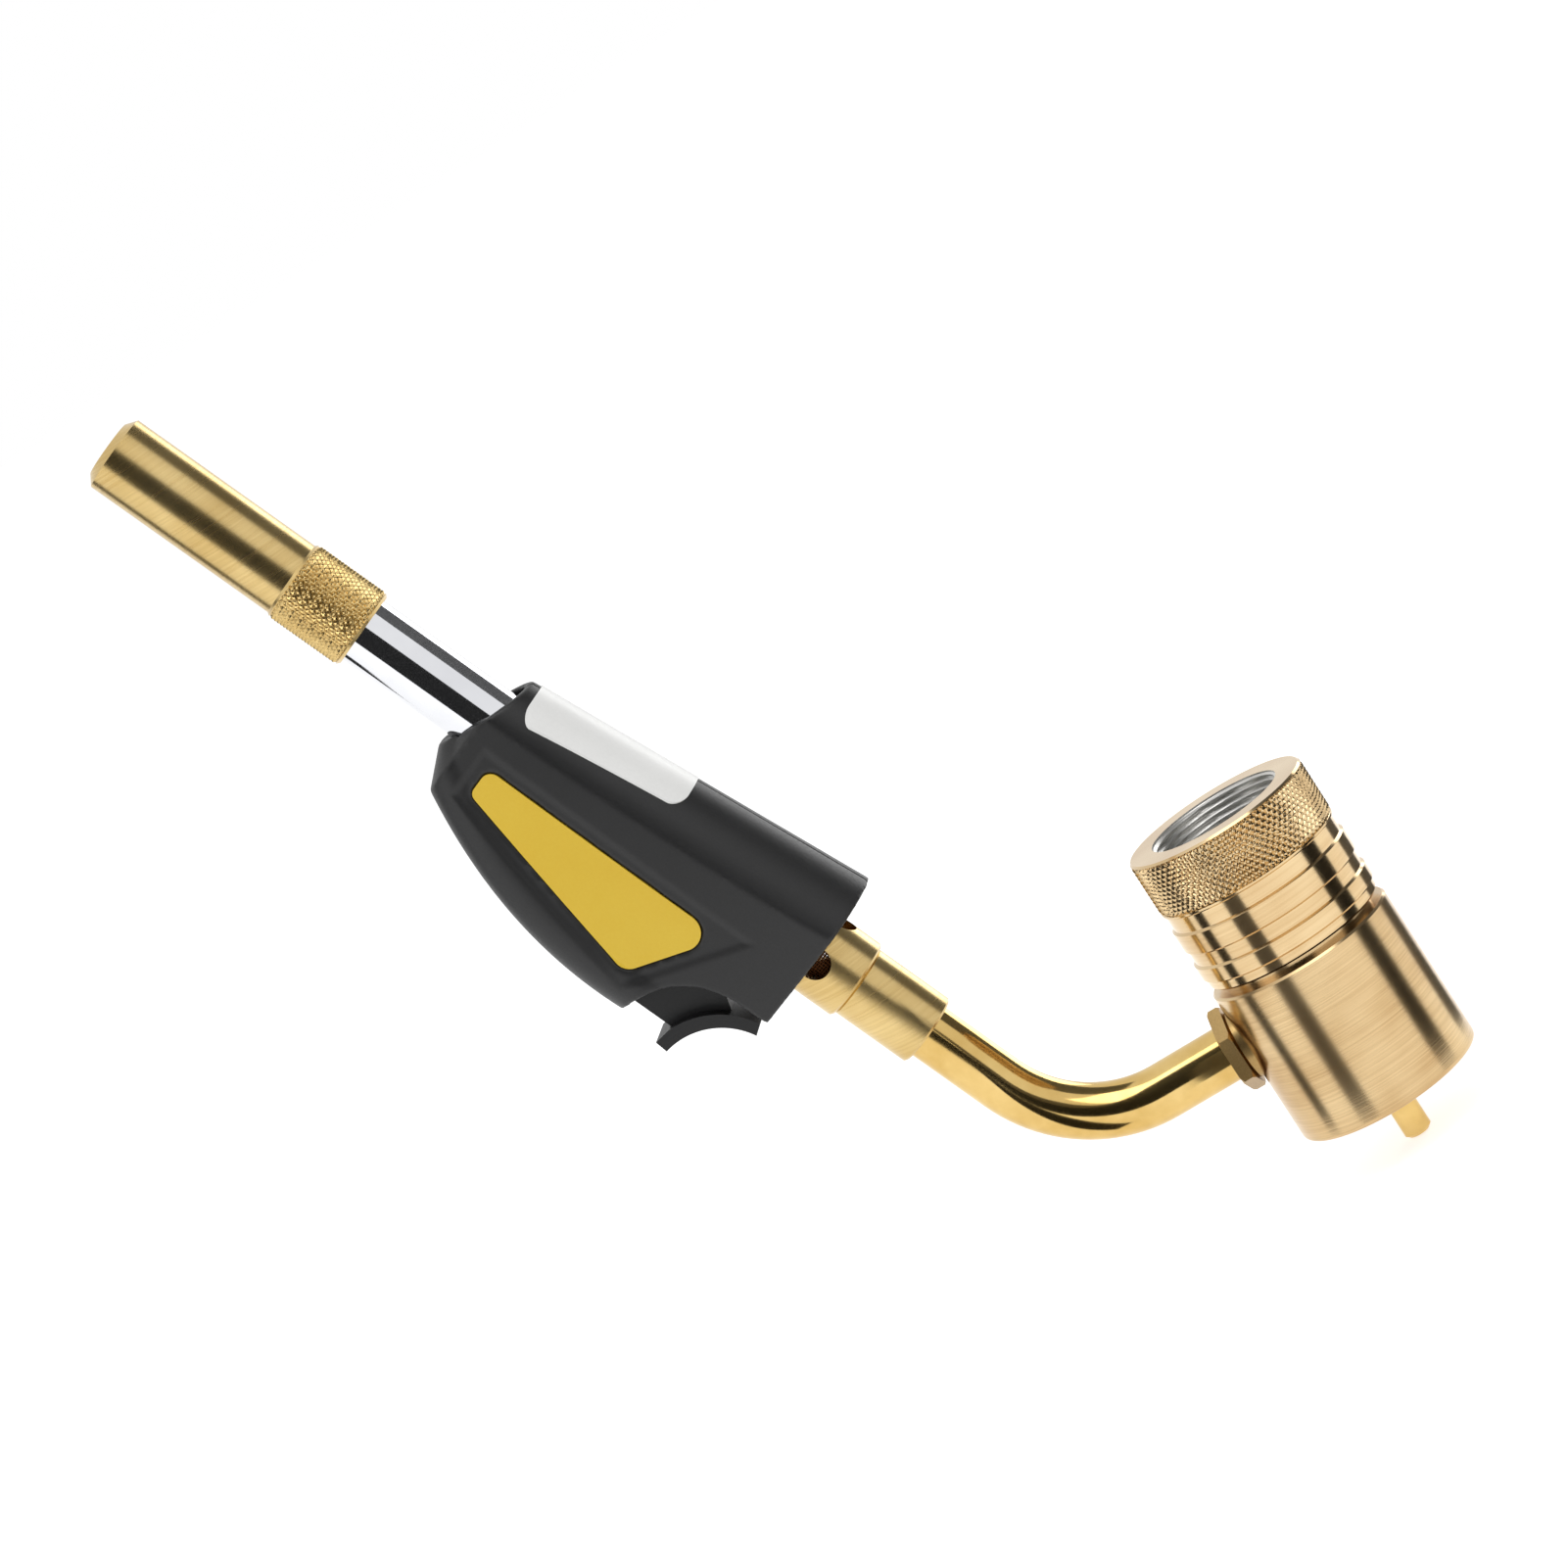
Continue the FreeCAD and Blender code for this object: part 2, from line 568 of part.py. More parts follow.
def gas_jet():
    """Screwed plug with a flange, a tapered nose and a fine hole."""
    seat = HOLDER_BACK + HOLDER_WEB
    flange_r, flange_top = JET_R + 0.9, seat + 2.0
    nose_top = flange_top + 1.6
    outline = [(JET_BORE, GAS_TUBE_START), (JET_R - SEAT, GAS_TUBE_START), (JET_R - SEAT, seat)]
    outline += [(flange_r, seat), (flange_r, flange_top), (JET_BORE + 0.4, flange_top)]
    outline += [(JET_BORE, nose_top), (JET_ORIFICE, nose_top), (JET_ORIFICE, flange_top), (JET_BORE, seat)]
    return turned(outline)


def flame_tube():
    barrel = tube(FLAME_TUBE_R, FLAME_TUBE_R - FLAME_TUBE_WALL, FLAME_TUBE_BACK, FLAME_TUBE_FRONT)
    hole = rod_along(LEAD_R + SEAT, Vector(-FLAME_TUBE_R - 1, 0, LEAD_AT), Vector(0, 0, LEAD_AT))
    return barrel.cut(hole)


def burner_tip():
    """Nozzle barrel with a grip collar, bored to sit over the flame tube's end."""
    grip_front = TIP_BACK + TIP_GRIP_LENGTH
    inside = FLAME_TUBE_R - FLAME_TUBE_WALL / 2
    chamfer = TIP_GRIP_CHAMFER
    lip = TIP_FRONT - TIP_LIP
    outline = [(FLAME_TUBE_R + SEAT, TIP_BACK), (TIP_GRIP_R - chamfer, TIP_BACK)]
    outline += [(TIP_GRIP_R, TIP_BACK + chamfer), (TIP_GRIP_R, grip_front - chamfer), (TIP_R, grip_front)]
    outline += [(TIP_R, TIP_FRONT - TIP_CHAMFER), (TIP_END_R, TIP_FRONT), (TIP_MOUTH_R, TIP_FRONT)]
    outline += [(TIP_MOUTH_R, lip), (inside, lip), (inside, FLAME_TUBE_FRONT)]
    outline.append((FLAME_TUBE_R + SEAT, FLAME_TUBE_FRONT))
    return turned(outline)


def flame_holder_back():
    return FLAME_TUBE_FRONT - FLAME_HOLDER_THICK - 1.0


def flame_holder():
    """Disc with slanted slots round its rim, which swirl the mixture."""
    back = flame_holder_back()
    front = back + FLAME_HOLDER_THICK
    radius = FLAME_TUBE_R - FLAME_TUBE_WALL - SEAT
    disc = rod(radius, back, front)
    half = SWIRL_SLOT_WIDE / 2
    slot = box(Vector(radius - SWIRL_SLOT_DEPTH, -half, -FLAME_HOLDER_THICK),
               Vector(radius + SWIRL_SLOT_DEPTH, half, FLAME_HOLDER_THICK))
    slot.rotate(Vector(), Vector(1, 0, 0), SWIRL_LEAN)
    slot.translate(Vector(0, 0, (back + front) / 2))
    for i in range(SWIRL_SLOTS):
        cutter = slot.copy()
        cutter.rotate(Vector(), UP, 360 * i / SWIRL_SLOTS)
        disc = disc.cut(cutter)
    passage = rod(INSULATOR_R + SEAT, back - 1, front + 1)
    passage.translate(Vector(-ELECTRODE_OFFSET, 0, 0))
    return disc.cut(passage)


def insulator_back():
    return LEAD_AT + LEAD_BEND_R


def electrode_insulator():
    sleeve = tube(INSULATOR_R, ELECTRODE_R + SEAT, insulator_back(), FLAME_TUBE_FRONT)
    sleeve.translate(Vector(-ELECTRODE_OFFSET, 0, 0))
    return sleeve


def electrode():
    wire = rod(ELECTRODE_R, insulator_back(), FLAME_TUBE_FRONT + ELECTRODE_OUT)
    wire.translate(Vector(-ELECTRODE_OFFSET, 0, 0))
    return wire


def ignition_lead():
    """Short wire from the igniter's nose up into the flame tube and along to the electrode."""
    bend = LEAD_BEND_R
    level = -PIEZO_DEPTH
    start = Vector(level, 0, PIEZO_BACK + PIEZO_LENGTH)
    before = Vector(level, 0, LEAD_AT - bend)
    after = Vector(level + bend, 0, LEAD_AT)
    inside = Vector(-ELECTRODE_OFFSET - bend, 0, LEAD_AT)
    end = Vector(-ELECTRODE_OFFSET, 0, LEAD_AT + bend)
    slack = bend * (1 - math.sqrt(0.5))
    first_mid = Vector(level + slack, 0, LEAD_AT - slack)
    second_mid = Vector(-ELECTRODE_OFFSET - slack, 0, LEAD_AT + slack)
    edges = [Part.LineSegment(start, before).toShape(), Part.Arc(before, first_mid, after).toShape()]
    edges += [Part.LineSegment(after, inside).toShape(), Part.Arc(inside, second_mid, end).toShape()]
    section = Part.Face(Part.Wire(Part.makeCircle(LEAD_R, start, UP)))
    return Part.Wire(edges).makePipe(section)


# Housing

def barrel_r(at):
    return REAR_R + (FRONT_R - REAR_R) * at / HOUSING_LENGTH


def barrel_centre(at):
    return REAR_CENTRE + (FRONT_CENTRE - REAR_CENTRE) * at / HOUSING_LENGTH


def fin_edge(at):
    """Distance of the fin's lower edge from the burner's axis."""
    return FIN_DEPTH - FIN_CURVE * (at - FIN_DEEPEST) ** 2


def hull_wire(at, top_x, top_r, low_x, low_r):
    """Outline round two circles and their common tangents, square to the burner's axis."""
    lean = (top_r - low_r) / (top_x - low_x)
    side = math.sqrt(1 - lean ** 2)

    def rim(centre, radius, sign):
        return Vector(centre + radius * lean, sign * radius * side, at)

    top = Part.Arc(rim(top_x, top_r, 1), Vector(top_x + top_r, 0, at), rim(top_x, top_r, -1))
    low = Part.Arc(rim(low_x, low_r, -1), Vector(low_x - low_r, 0, at), rim(low_x, low_r, 1))
    near = Part.LineSegment(rim(top_x, top_r, -1), rim(low_x, low_r, -1))
    far = Part.LineSegment(rim(low_x, low_r, 1), rim(top_x, top_r, 1))
    return Part.Wire([top.toShape(), near.toShape(), low.toShape(), far.toShape()])


def section(at, inset):
    return hull_wire(at, barrel_centre(at), barrel_r(at) - inset, FIN_R - fin_edge(at), FIN_R - inset)


def skin(inset, start, end):
    """The housing's outer form, drawn in from all sides by inset."""
    step = (end - start) / (SECTIONS - 1)
    wires = [section(start + i * step, inset) for i in range(SECTIONS)]
    return Part.makeLoft(wires, True, False)


def nose():
    """Tapered front that closes round the flame tube."""
    tip = hull_wire(NOSE_FRONT, NOSE_CENTRE, FLAME_TUBE_R + WALL, NOSE_LOW_CENTRE, NOSE_LOW_R)
    return Part.makeLoft([section(HOUSING_LENGTH, 0), tip], True, True)


def trigger_arch():
    """What is cut away below the housing, behind the fin."""
    wide = 2 * REAR_R
    low = -FIN_DEPTH - REAR_R
    behind = -REAR_R
    flat_end = Vector(-UNDERSIDE, 0, TAIL - 14.9)
    bend = Vector(-UNDERSIDE - 2.9, 0, TAIL - 6.1)
    throat = Vector(-UNDERSIDE - 11.9, 0, TAIL)
    points = [throat, Vector(low, 0, TAIL + 2.4), Vector(low, 0, behind), Vector(-UNDERSIDE, 0, behind)]
    points.append(flat_end)
    edges = [Part.LineSegment(a, b).toShape() for a, b in zip(points, points[1:])]
    edges.append(Part.Arc(flat_end, bend, throat).toShape())
    return plate(Part.Wire(edges), -wide, wide)


def front_slant():
    """What is cut off the front, so that it leans back over the flame tube."""
    wide = 2 * REAR_R
    clear = NOSE_FRONT + FREE
    beyond = NOSE_FRONT + REAR_R
    top = Vector(REAR_R, 0, HOUSING_LENGTH - SLANT_TOP)
    corners = [top, Vector(SLANT_LOW, 0, clear), Vector(-wide, 0, clear), Vector(-wide, 0, beyond)]
    corners += [Vector(REAR_R, 0, beyond), top]
    return plate(Part.makePolygon(corners), -wide, wide)


def inlay_wire(grow):
    """Rounded triangle on the housing's side, grown outwards by grow."""
    corners = [Vector(x, 0, z) for x, z in INLAY_CORNERS]
    arcs = []
    for i, here in enumerate(corners):
        to_last = (corners[i - 1] - here).normalize()
        to_next = (corners[(i + 1) % len(corners)] - here).normalize()
        half = to_last.getAngle(to_next) / 2
        bisector = (to_last + to_next).normalize()
        centre = here + bisector * (INLAY_ROUNDS[i] / math.sin(half))
        reach = INLAY_ROUNDS[i] / math.tan(half)
        radius = INLAY_ROUNDS[i] + grow
        entry = centre + (here + to_last * reach - centre).normalize() * radius
        leave = centre + (here + to_next * reach - centre).normalize() * radius
        arcs.append((entry, centre - bisector * radius, leave))
    edges = []
    for i, (entry, middle, leave) in enumerate(arcs):
        edges.append(Part.Arc(entry, middle, leave).toShape())
        edges.append(Part.LineSegment(leave, arcs[(i + 1) % len(arcs)][0]).toShape())
    return Part.Wire(edges)


def inlay_prism(grow, side):
    reach = 2 * REAR_R
    low, high = (-reach, 0) if side < 0 else (0, reach)
    return plate(inlay_wire(grow), low, high)


def screw_seat(x, z):
    """Distance from the joint plane to the face under a screw's head."""
    return side_distance(x, z) - SCREW_HEAD_THICK - SCREW_HEAD_SUNK


def side_distance(x, z):
    """Distance from the joint plane to the housing's side at a point."""
    top_x, top_r = barrel_centre(z), barrel_r(z)
    low_x = FIN_R - fin_edge(z)
    lean = (top_r - FIN_R) / (top_x - low_x)
    side = math.sqrt(1 - lean ** 2)
    if x > top_x + top_r * lean:
        return math.sqrt(top_r ** 2 - (x - top_x) ** 2)
    if x < low_x + FIN_R * lean:
        return math.sqrt(FIN_R ** 2 - (x - low_x) ** 2)
    return (top_r - (x - top_x) * lean) / side


def housing_inside():
    return skin(WALL, 0, HOUSING_LENGTH).fuse(rear_mouth())


def rear_mouth():
    """Clears the hollow's mouth at the back."""
    return Part.Face(section(0, WALL)).extrude(Vector(0, 0, -WALL))


def ribs(hollow):
    """Walls across the hollow that hold the jet holder, flame tube, igniter and trigger stem."""
    wide = 2 * REAR_R
    low = -FIN_DEPTH
    rear = box(Vector(STEM_TOP + 1, -wide, REAR_RIB[0]), Vector(wide, wide, REAR_RIB[1]))
    rear = rear.cut(rod(HOLDER_R + SEAT, 0, HOUSING_LENGTH))
    front = box(Vector(low, -wide, FRONT_RIB[0]), Vector(wide, wide, FRONT_RIB[1]))
    front = front.cut(rod(FLAME_TUBE_R + SEAT, 0, HOUSING_LENGTH))
    guide = box(Vector(low, -wide, RIB_START), Vector(STEM_TOP + 2, wide, RIB_START + RIB_THICK))
    slot = box(Vector(STEM_BOTTOM - FREE, -STEM_HALF_WIDTH - FREE, 0),
               Vector(STEM_TOP + FREE, STEM_HALF_WIDTH + FREE, HOUSING_LENGTH))
    walls = [rear, front, guide.cut(slot)]
    cradle_top = -PIEZO_DEPTH + PIEZO_R + CRADLE_ABOVE
    seat = rod(PIEZO_R + SEAT, 0, HOUSING_LENGTH)
    seat.translate(Vector(-PIEZO_DEPTH, 0, 0))
    for place in CRADLE_PLACES:
        start = PIEZO_BACK + place - CRADLE_HALF_THICK
        end = PIEZO_BACK + place + CRADLE_HALF_THICK
        walls.append(box(Vector(low, -wide, start), Vector(cradle_top, wide, end)).cut(seat))
    return [wall.common(hollow) for wall in walls]


def bosses(hollow, side):
    """Screw pillars of one half, from the joint plane to the skin."""
    pillars = []
    for x, z in SCREW_SPOTS:
        pillar = rod_along(SCREW_R + BOSS_WALL, Vector(x, 0, z), Vector(x, side * 2 * REAR_R, z))
        pillars.append(pillar.common(hollow))
    return pillars


def housing_half(side):
    """One half of the housing: side -1 is the half with the blind screw holes, 1 has the heads."""
    hollow = housing_inside()
    shell = skin(0, 0, HOUSING_LENGTH).fuse(nose()).cut(hollow)
    shell = shell.cut(rod(FLAME_TUBE_R + SEAT, HOUSING_LENGTH - 10, NOSE_FRONT + 1))
    recess_depth = INLAY_THICK + INLAY_SUNK
    recess = skin(-1, 0, HOUSING_LENGTH).cut(skin(recess_depth, 0, HOUSING_LENGTH))
    shell = shell.cut(recess.common(inlay_prism(INLAY_GAP, side)))
    for wall in ribs(hollow) + bosses(hollow, side):
        shell = shell.fuse(wall)
    shell = shell.cut(trigger_arch()).cut(front_slant())
    for x, z in SCREW_SPOTS:
        seat = screw_seat(x, z)
        if side < 0:
            shell = shell.cut(rod_along(SCREW_R, Vector(x, 1, z), Vector(x, -SCREW_DEPTH, z)))
        else:
            shell = shell.cut(rod_along(SCREW_R + SEAT, Vector(x, -1, z), Vector(x, seat, z)))
            shell = shell.cut(rod_along(SCREW_HEAD_R + SEAT, Vector(x, seat, z), Vector(x, 2 * REAR_R, z)))
    shell = shell.cut(rod(HOLDER_R + SEAT, -WALL, HOLDER_FRONT + SEAT))
    big = 4 * REAR_R
    low, high = (-big, 0) if side < 0 else (0, big)
    half = shell.common(box(Vector(-big, low, -big), Vector(big, high, NOSE_FRONT + big)))
    return half.removeSplitter()


def housing_screws():
    """Cross-slotted screws whose heads sit in the far half."""
    screws = []
    arm_half, slot_half = SCREW_R, SCREW_R / 4
    for x, z in SCREW_SPOTS:
        seat = screw_seat(x, z)
        top = seat + SCREW_HEAD_THICK
        shank = rod_along(SCREW_R - SEAT / 2, Vector(x, SEAT - SCREW_DEPTH, z), Vector(x, seat, z))
        head = rod_along(SCREW_HEAD_R, Vector(x, seat, z), Vector(x, top, z))
        screw = shank.fuse(head).removeSplitter()
        for turn in (0, 90):
            arm = box(Vector(-arm_half, -SCREW_SLOT_DEPTH, -slot_half), Vector(arm_half, 1, slot_half))
            arm.rotate(Vector(), Vector(0, 1, 0), turn)
            arm.translate(Vector(x, top, z))
            screw = screw.cut(arm)
        screws.append(screw)
    return Part.makeCompound(screws)


def side_inlay(side):
    band = skin(INLAY_SUNK, 0, HOUSING_LENGTH).cut(skin(INLAY_SUNK + INLAY_THICK, 0, HOUSING_LENGTH))
    return band.common(inlay_prism(0, side))


def top_sticker():
    """Thin label wrapped over the barrel, with rounded corners."""
    band = skin(-STICKER_THICK, 0, HOUSING_LENGTH).cut(skin(0, 0, HOUSING_LENGTH))
    block = box(Vector(0, -STICKER_HALF_WIDTH, STICKER_START),
                Vector(2 * REAR_R, STICKER_HALF_WIDTH, STICKER_START + STICKER_LENGTH))
    corners = [e for e in block.Edges if abs(e.tangentAt(e.FirstParameter).x) > 0.99]
    return band.common(block.makeFillet(STICKER_CORNER, corners))


# Trigger and igniter

def trigger():
    """Curved finger blade on a flat stem that slides in the housing."""
    rear_top = Vector(-15.2, 0, 0.9)
    rear_low = Vector(-17.4, 0, 0.1)
    tip_back = Vector(-29.4, 0, 11.3)
    tip_front = Vector(-29.2, 0, 13.8)
    inner_low = Vector(STEM_BOTTOM, 0, 13.3)
    finger = Part.Arc(rear_low, Vector(-19.9, 0, 5.9), tip_back).toShape()
    inner = Part.Arc(inner_low, Vector(-18.9, 0, 8.6), rear_top).toShape()
    edges = [finger, Part.LineSegment(tip_back, tip_front).toShape()]
    edges += [Part.LineSegment(tip_front, inner_low).toShape(), inner]
    edges.append(Part.LineSegment(rear_top, rear_low).toShape())
    blade = plate(Part.Wire(edges), -BLADE_HALF_WIDTH, BLADE_HALF_WIDTH)
    corners = [Vector(-17.6, 0, 5.4), Vector(STEM_BOTTOM, 0, 12.6), Vector(STEM_BOTTOM, 0, STEM_FRONT),
               Vector(STEM_TOP, 0, STEM_FRONT), Vector(STEM_TOP, 0, 12), Vector(-17.6, 0, 5.4)]
    stem = plate(Part.makePolygon(corners), -STEM_HALF_WIDTH, STEM_HALF_WIDTH)
    stop = RIB_START + RIB_THICK + FREE
    lug_half = STEM_HALF_WIDTH + LUG_OUT
    lug = box(Vector(LUG_BOTTOM, -lug_half, stop), Vector(LUG_TOP, lug_half, STEM_FRONT))
    return blade.fuse([stem, lug]).removeSplitter()


def plunger_end():
    return STEM_FRONT + PLUNGER_LENGTH


def piezo_bore_end():
    return PIEZO_BACK + PIEZO_BORE_DEPTH


def piezo_igniter():
    bore = PLUNGER_R + RUN
    outline = [(bore, PIEZO_BACK), (PIEZO_R, PIEZO_BACK), (PIEZO_R, PIEZO_BACK + PIEZO_LENGTH)]
    outline += [(0, PIEZO_BACK + PIEZO_LENGTH), (0, piezo_bore_end()), (bore, piezo_bore_end())]
    unit = turned(outline)
    unit.translate(Vector(-PIEZO_DEPTH, 0, 0))
    return unit


def piezo_plunger():
    plunger = rod(PLUNGER_R, STEM_FRONT, plunger_end())
    plunger.translate(Vector(-PIEZO_DEPTH, 0, 0))
    return plunger


def trigger_spring():
    coil = helical_spring(PLUNGER_R - THIN_WIRE_INSET, TRIGGER_WIRE_R, plunger_end(), piezo_bore_end(), 6)
    coil.translate(Vector(-PIEZO_DEPTH, 0, 0))
    return coil


def pieces():
    """Every node's name and shape, in the row's frame."""
    plain = [inlet_coupling, inlet_nipple, inlet_seal, inlet_filter, swivel_o_ring, regulator_body,
             valve_seat, valve_poppet, poppet_spring, diaphragm, diaphragm_plate, regulator_spring,
             spring_seat, regulator_cap, spindle_o_ring, control_spindle, spindle_clip, lock_nut,
             outlet_collar, bent_tube]
    burner = [jet_holder, gauze_screen, gas_jet, flame_tube, burner_tip, flame_holder,
              electrode_insulator, electrode, ignition_lead, housing_screws, top_sticker, trigger,
              piezo_igniter, piezo_plunger, trigger_spring]
    made = {make.__name__: make() for make in plain}
    made.update({make.__name__: on_burner(make()) for make in burner})
    for name, side in (("near", -1), ("far", 1)):
        made["housing_" + name] = on_burner(housing_half(side))
        made["side_inlay_" + name] = on_burner(side_inlay(side))
    return made


def main():
    os.makedirs("parts", exist_ok=True)
    for name, shape in pieces().items():
        shape.exportStep("parts/" + name + ".step")
        print(name, "solids", len(shape.Solids), "valid", shape.isValid(), "volume", round(shape.Volume, 1))


main()
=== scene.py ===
"""Finish and studio for the hand gas torch: rolled knurls and thread, woven gauze, moulded housing."""

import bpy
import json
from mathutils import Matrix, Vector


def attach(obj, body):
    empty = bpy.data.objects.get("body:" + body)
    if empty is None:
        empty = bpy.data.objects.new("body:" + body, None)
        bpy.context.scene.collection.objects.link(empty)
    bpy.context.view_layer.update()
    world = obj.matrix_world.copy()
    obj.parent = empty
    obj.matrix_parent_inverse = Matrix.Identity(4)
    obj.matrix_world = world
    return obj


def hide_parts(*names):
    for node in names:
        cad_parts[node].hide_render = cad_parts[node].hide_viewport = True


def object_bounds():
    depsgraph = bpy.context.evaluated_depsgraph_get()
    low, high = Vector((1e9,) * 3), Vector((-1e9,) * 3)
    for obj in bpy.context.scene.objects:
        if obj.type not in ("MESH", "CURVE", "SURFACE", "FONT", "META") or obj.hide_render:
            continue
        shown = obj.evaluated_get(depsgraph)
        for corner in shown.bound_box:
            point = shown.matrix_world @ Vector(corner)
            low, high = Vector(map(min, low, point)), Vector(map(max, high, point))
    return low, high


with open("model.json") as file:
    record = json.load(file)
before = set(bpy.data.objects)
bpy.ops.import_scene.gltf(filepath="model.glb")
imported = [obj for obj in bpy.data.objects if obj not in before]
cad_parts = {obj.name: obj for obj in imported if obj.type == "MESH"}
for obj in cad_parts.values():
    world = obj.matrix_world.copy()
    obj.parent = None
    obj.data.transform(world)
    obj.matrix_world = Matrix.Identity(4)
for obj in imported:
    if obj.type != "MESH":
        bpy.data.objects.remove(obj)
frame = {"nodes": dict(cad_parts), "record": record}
cad_box = [list(corner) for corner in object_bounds()]

import json
import math

import bmesh
import bpy
from mathutils import Matrix, Vector

MM = 0.001
LEAN = math.radians(21.59)
BURNER = Matrix.Translation((-73.5 * MM, 0, 15.3 * MM)) @ Matrix.Rotation(-LEAN, 4, "Y")
# How a grain is turned to run along the tank's axis or the burner's.
ALONG_TANK = (0, 0, 0)
ALONG_BURNER = (0, LEAN, 0)
# Broad patches that cloud every finish a little, in millimetres.
CLOUD = 14


def linear(hexed):
    """An sRGB hex colour as linear RGBA."""
    parts = [int(hexed[i:i + 2], 16) / 255 for i in (0, 2, 4)]
    return [c / 12.92 if c <= 0.04045 else ((c + 0.055) / 1.055) ** 2.4 for c in parts] + [1.0]


def add(tree, kind, settings, links=()):
    """Adds a node, sets its properties and sockets, and links (socket, source socket) pairs."""
    node = tree.nodes.new(kind)
    for key, value in settings.items():
        if isinstance(key, str) and hasattr(node, key):
            setattr(node, key, value)
        else:
            node.inputs[key].default_value = value
    for socket, source in links:
        tree.links.new(source, node.inputs[socket])
    return node


def finish(name, light, dark, rough, grain, stretch=(1, 1, 1), axis=ALONG_TANK, metallic=1.0, bump=0.1,
           depth=0.02):
    """A material whose colour, roughness and relief share one grain, grain and depth in millimetres."""
    made = bpy.data.materials.new(name)
    made.use_nodes = True
    tree = made.node_tree
    tree.nodes.clear()
    place = add(tree, "ShaderNodeTexCoord", {}).outputs["Object"]
    laid = add(tree, "ShaderNodeMapping", {"Rotation": axis, "Scale": stretch}, [("Vector", place)])
    fine = add(tree, "ShaderNodeTexNoise", {"Scale": 1 / (grain * MM), "Detail": 3.0},
               [("Vector", laid.outputs[0])])
    broad = add(tree, "ShaderNodeTexNoise", {"Scale": 1 / (CLOUD * MM), "Detail": 2.0}, [("Vector", place)])
    both = add(tree, "ShaderNodeMath", {"operation": "MULTIPLY_ADD", 1: 0.6},
               [(0, fine.outputs[0]), (2, broad.outputs[0])])
    share = add(tree, "ShaderNodeMapRange", {"From Min": 0.55, "From Max": 1.05},
                [("Value", both.outputs[0])])
    tone = add(tree, "ShaderNodeMix", {"data_type": "RGBA", 6: linear(light), 7: linear(dark)},
               [(0, share.outputs[0])])
    gloss = add(tree, "ShaderNodeMapRange", {"To Min": rough * 0.8, "To Max": rough * 1.25},
                [("Value", fine.outputs[0])])
    relief = add(tree, "ShaderNodeBump", {"Strength": bump, "Distance": depth * MM},
                 [("Height", fine.outputs[0])])
    shader = add(tree, "ShaderNodeBsdfPrincipled", {"Metallic": metallic},
                 [("Base Color", tone.outputs[2]), ("Roughness", gloss.outputs[0]),
                  ("Normal", relief.outputs[0])])
    add(tree, "ShaderNodeOutputMaterial", {}, [("Surface", shader.outputs[0])])
    return made


# Turning lines run round a turned piece's axis, 50 times longer round it than along it; brushing, 100 times.
ROUND = (0.02, 0.02, 1.0)
BRUSHED_ROUND = (0.01, 0.01, 1.0)
FINISHES = {
    # Champagne-plated brass, polished: warm pinkish mirror with faint turning lines.
    "rose_brass": finish("champagne plated brass", "DEC59A", "C9AA7C", 0.14, 0.5, ROUND, bump=0.08),
    # Brass, turned and lacquered: soft yellow satin.
    "satin_brass": finish("lacquered turned brass", "D9BF86", "C2A468", 0.25, 0.4, ROUND, ALONG_BURNER,
                          bump=0.12),
    # Drawn brass tube, buffed: bright gold with sharp dark reflections.
    "polished_brass": finish("buffed brass tube", "DDBE7C", "CBA862", 0.12, 3.0, bump=0.03),
    # Brass as turned: duller and browner.
    "turned_brass": finish("turned brass", "BFA06A", "9C7F50", 0.3, 0.3, bump=0.15),
    # Chromed steel tube: nearly clear mirror.
    "chrome": finish("chrome plate", "E4E5E8", "DADBDF", 0.06, 4.0, bump=0.01),
    # Zinc-plated steel: plain grey metal.
    "steel": finish("zinc plated steel", "B9BABC", "9FA1A4", 0.3, 0.6, bump=0.1),
    # ABS moulded against a spark-eroded tool: fine matt black grain of about 0.35 mm.
    "black_plastic": finish("spark grained black ABS", "151516", "101011", 0.46, 0.35, metallic=0.0, bump=0.2,
                            depth=0.05),
    # Printed polycarbonate film: flat clean yellow, slightly glossy.
    "yellow_inlay": finish("yellow polycarbonate film", "EAC63A", "E6BF32", 0.34, 0.5, metallic=0.0,
                           bump=0.04),
    # Printed vinyl film, left bare: clean white with a slight gloss.
    "white_label": finish("white vinyl film", "F2F2F0", "ECECEA", 0.36, 0.6, metallic=0.0, bump=0.04),
    # Nitrile rubber, moulded: dull near-black.
    "rubber": finish("nitrile rubber", "1D1D1D", "262626", 0.6, 0.3, metallic=0.0, bump=0.1),
    # Alumina, fired and unglazed: chalky cream.
    "ceramic": finish("fired alumina", "EFEBDF", "E3DDCC", 0.4, 0.3, metallic=0.0, bump=0.1),
    # Nylon, moulded: off-white with a soft shine.
    "white_plastic": finish("nylon", "E4E2DA", "DAD8CE", 0.4, 0.5, metallic=0.0, bump=0.05),
    # Silicone sleeve, extruded: dull deep red.
    "red_sleeve": finish("red silicone sleeve", "A3241C", "8C1D16", 0.45, 0.4, metallic=0.0, bump=0.05),
    # Bronze wire, heat-darkened: rusty brown.
    "bronze": finish("heat darkened bronze wire", "8A5A36", "5E3A22", 0.42, 0.3, bump=0.2),
}
# Nickel plate inside the mouth: light silver grey with a soft shine.
NICKEL = finish("satin nickel plate", "DAD9D5", "C8C7C3", 0.38, 0.4, ROUND, bump=0.1)
# The body is brushed round with abrasive: dense lines and a wide soft glow.
BRUSHED = finish("brushed champagne brass", "D8BE92", "BB9B6E", 0.2, 0.22, BRUSHED_ROUND, bump=0.35,
                 depth=0.03)

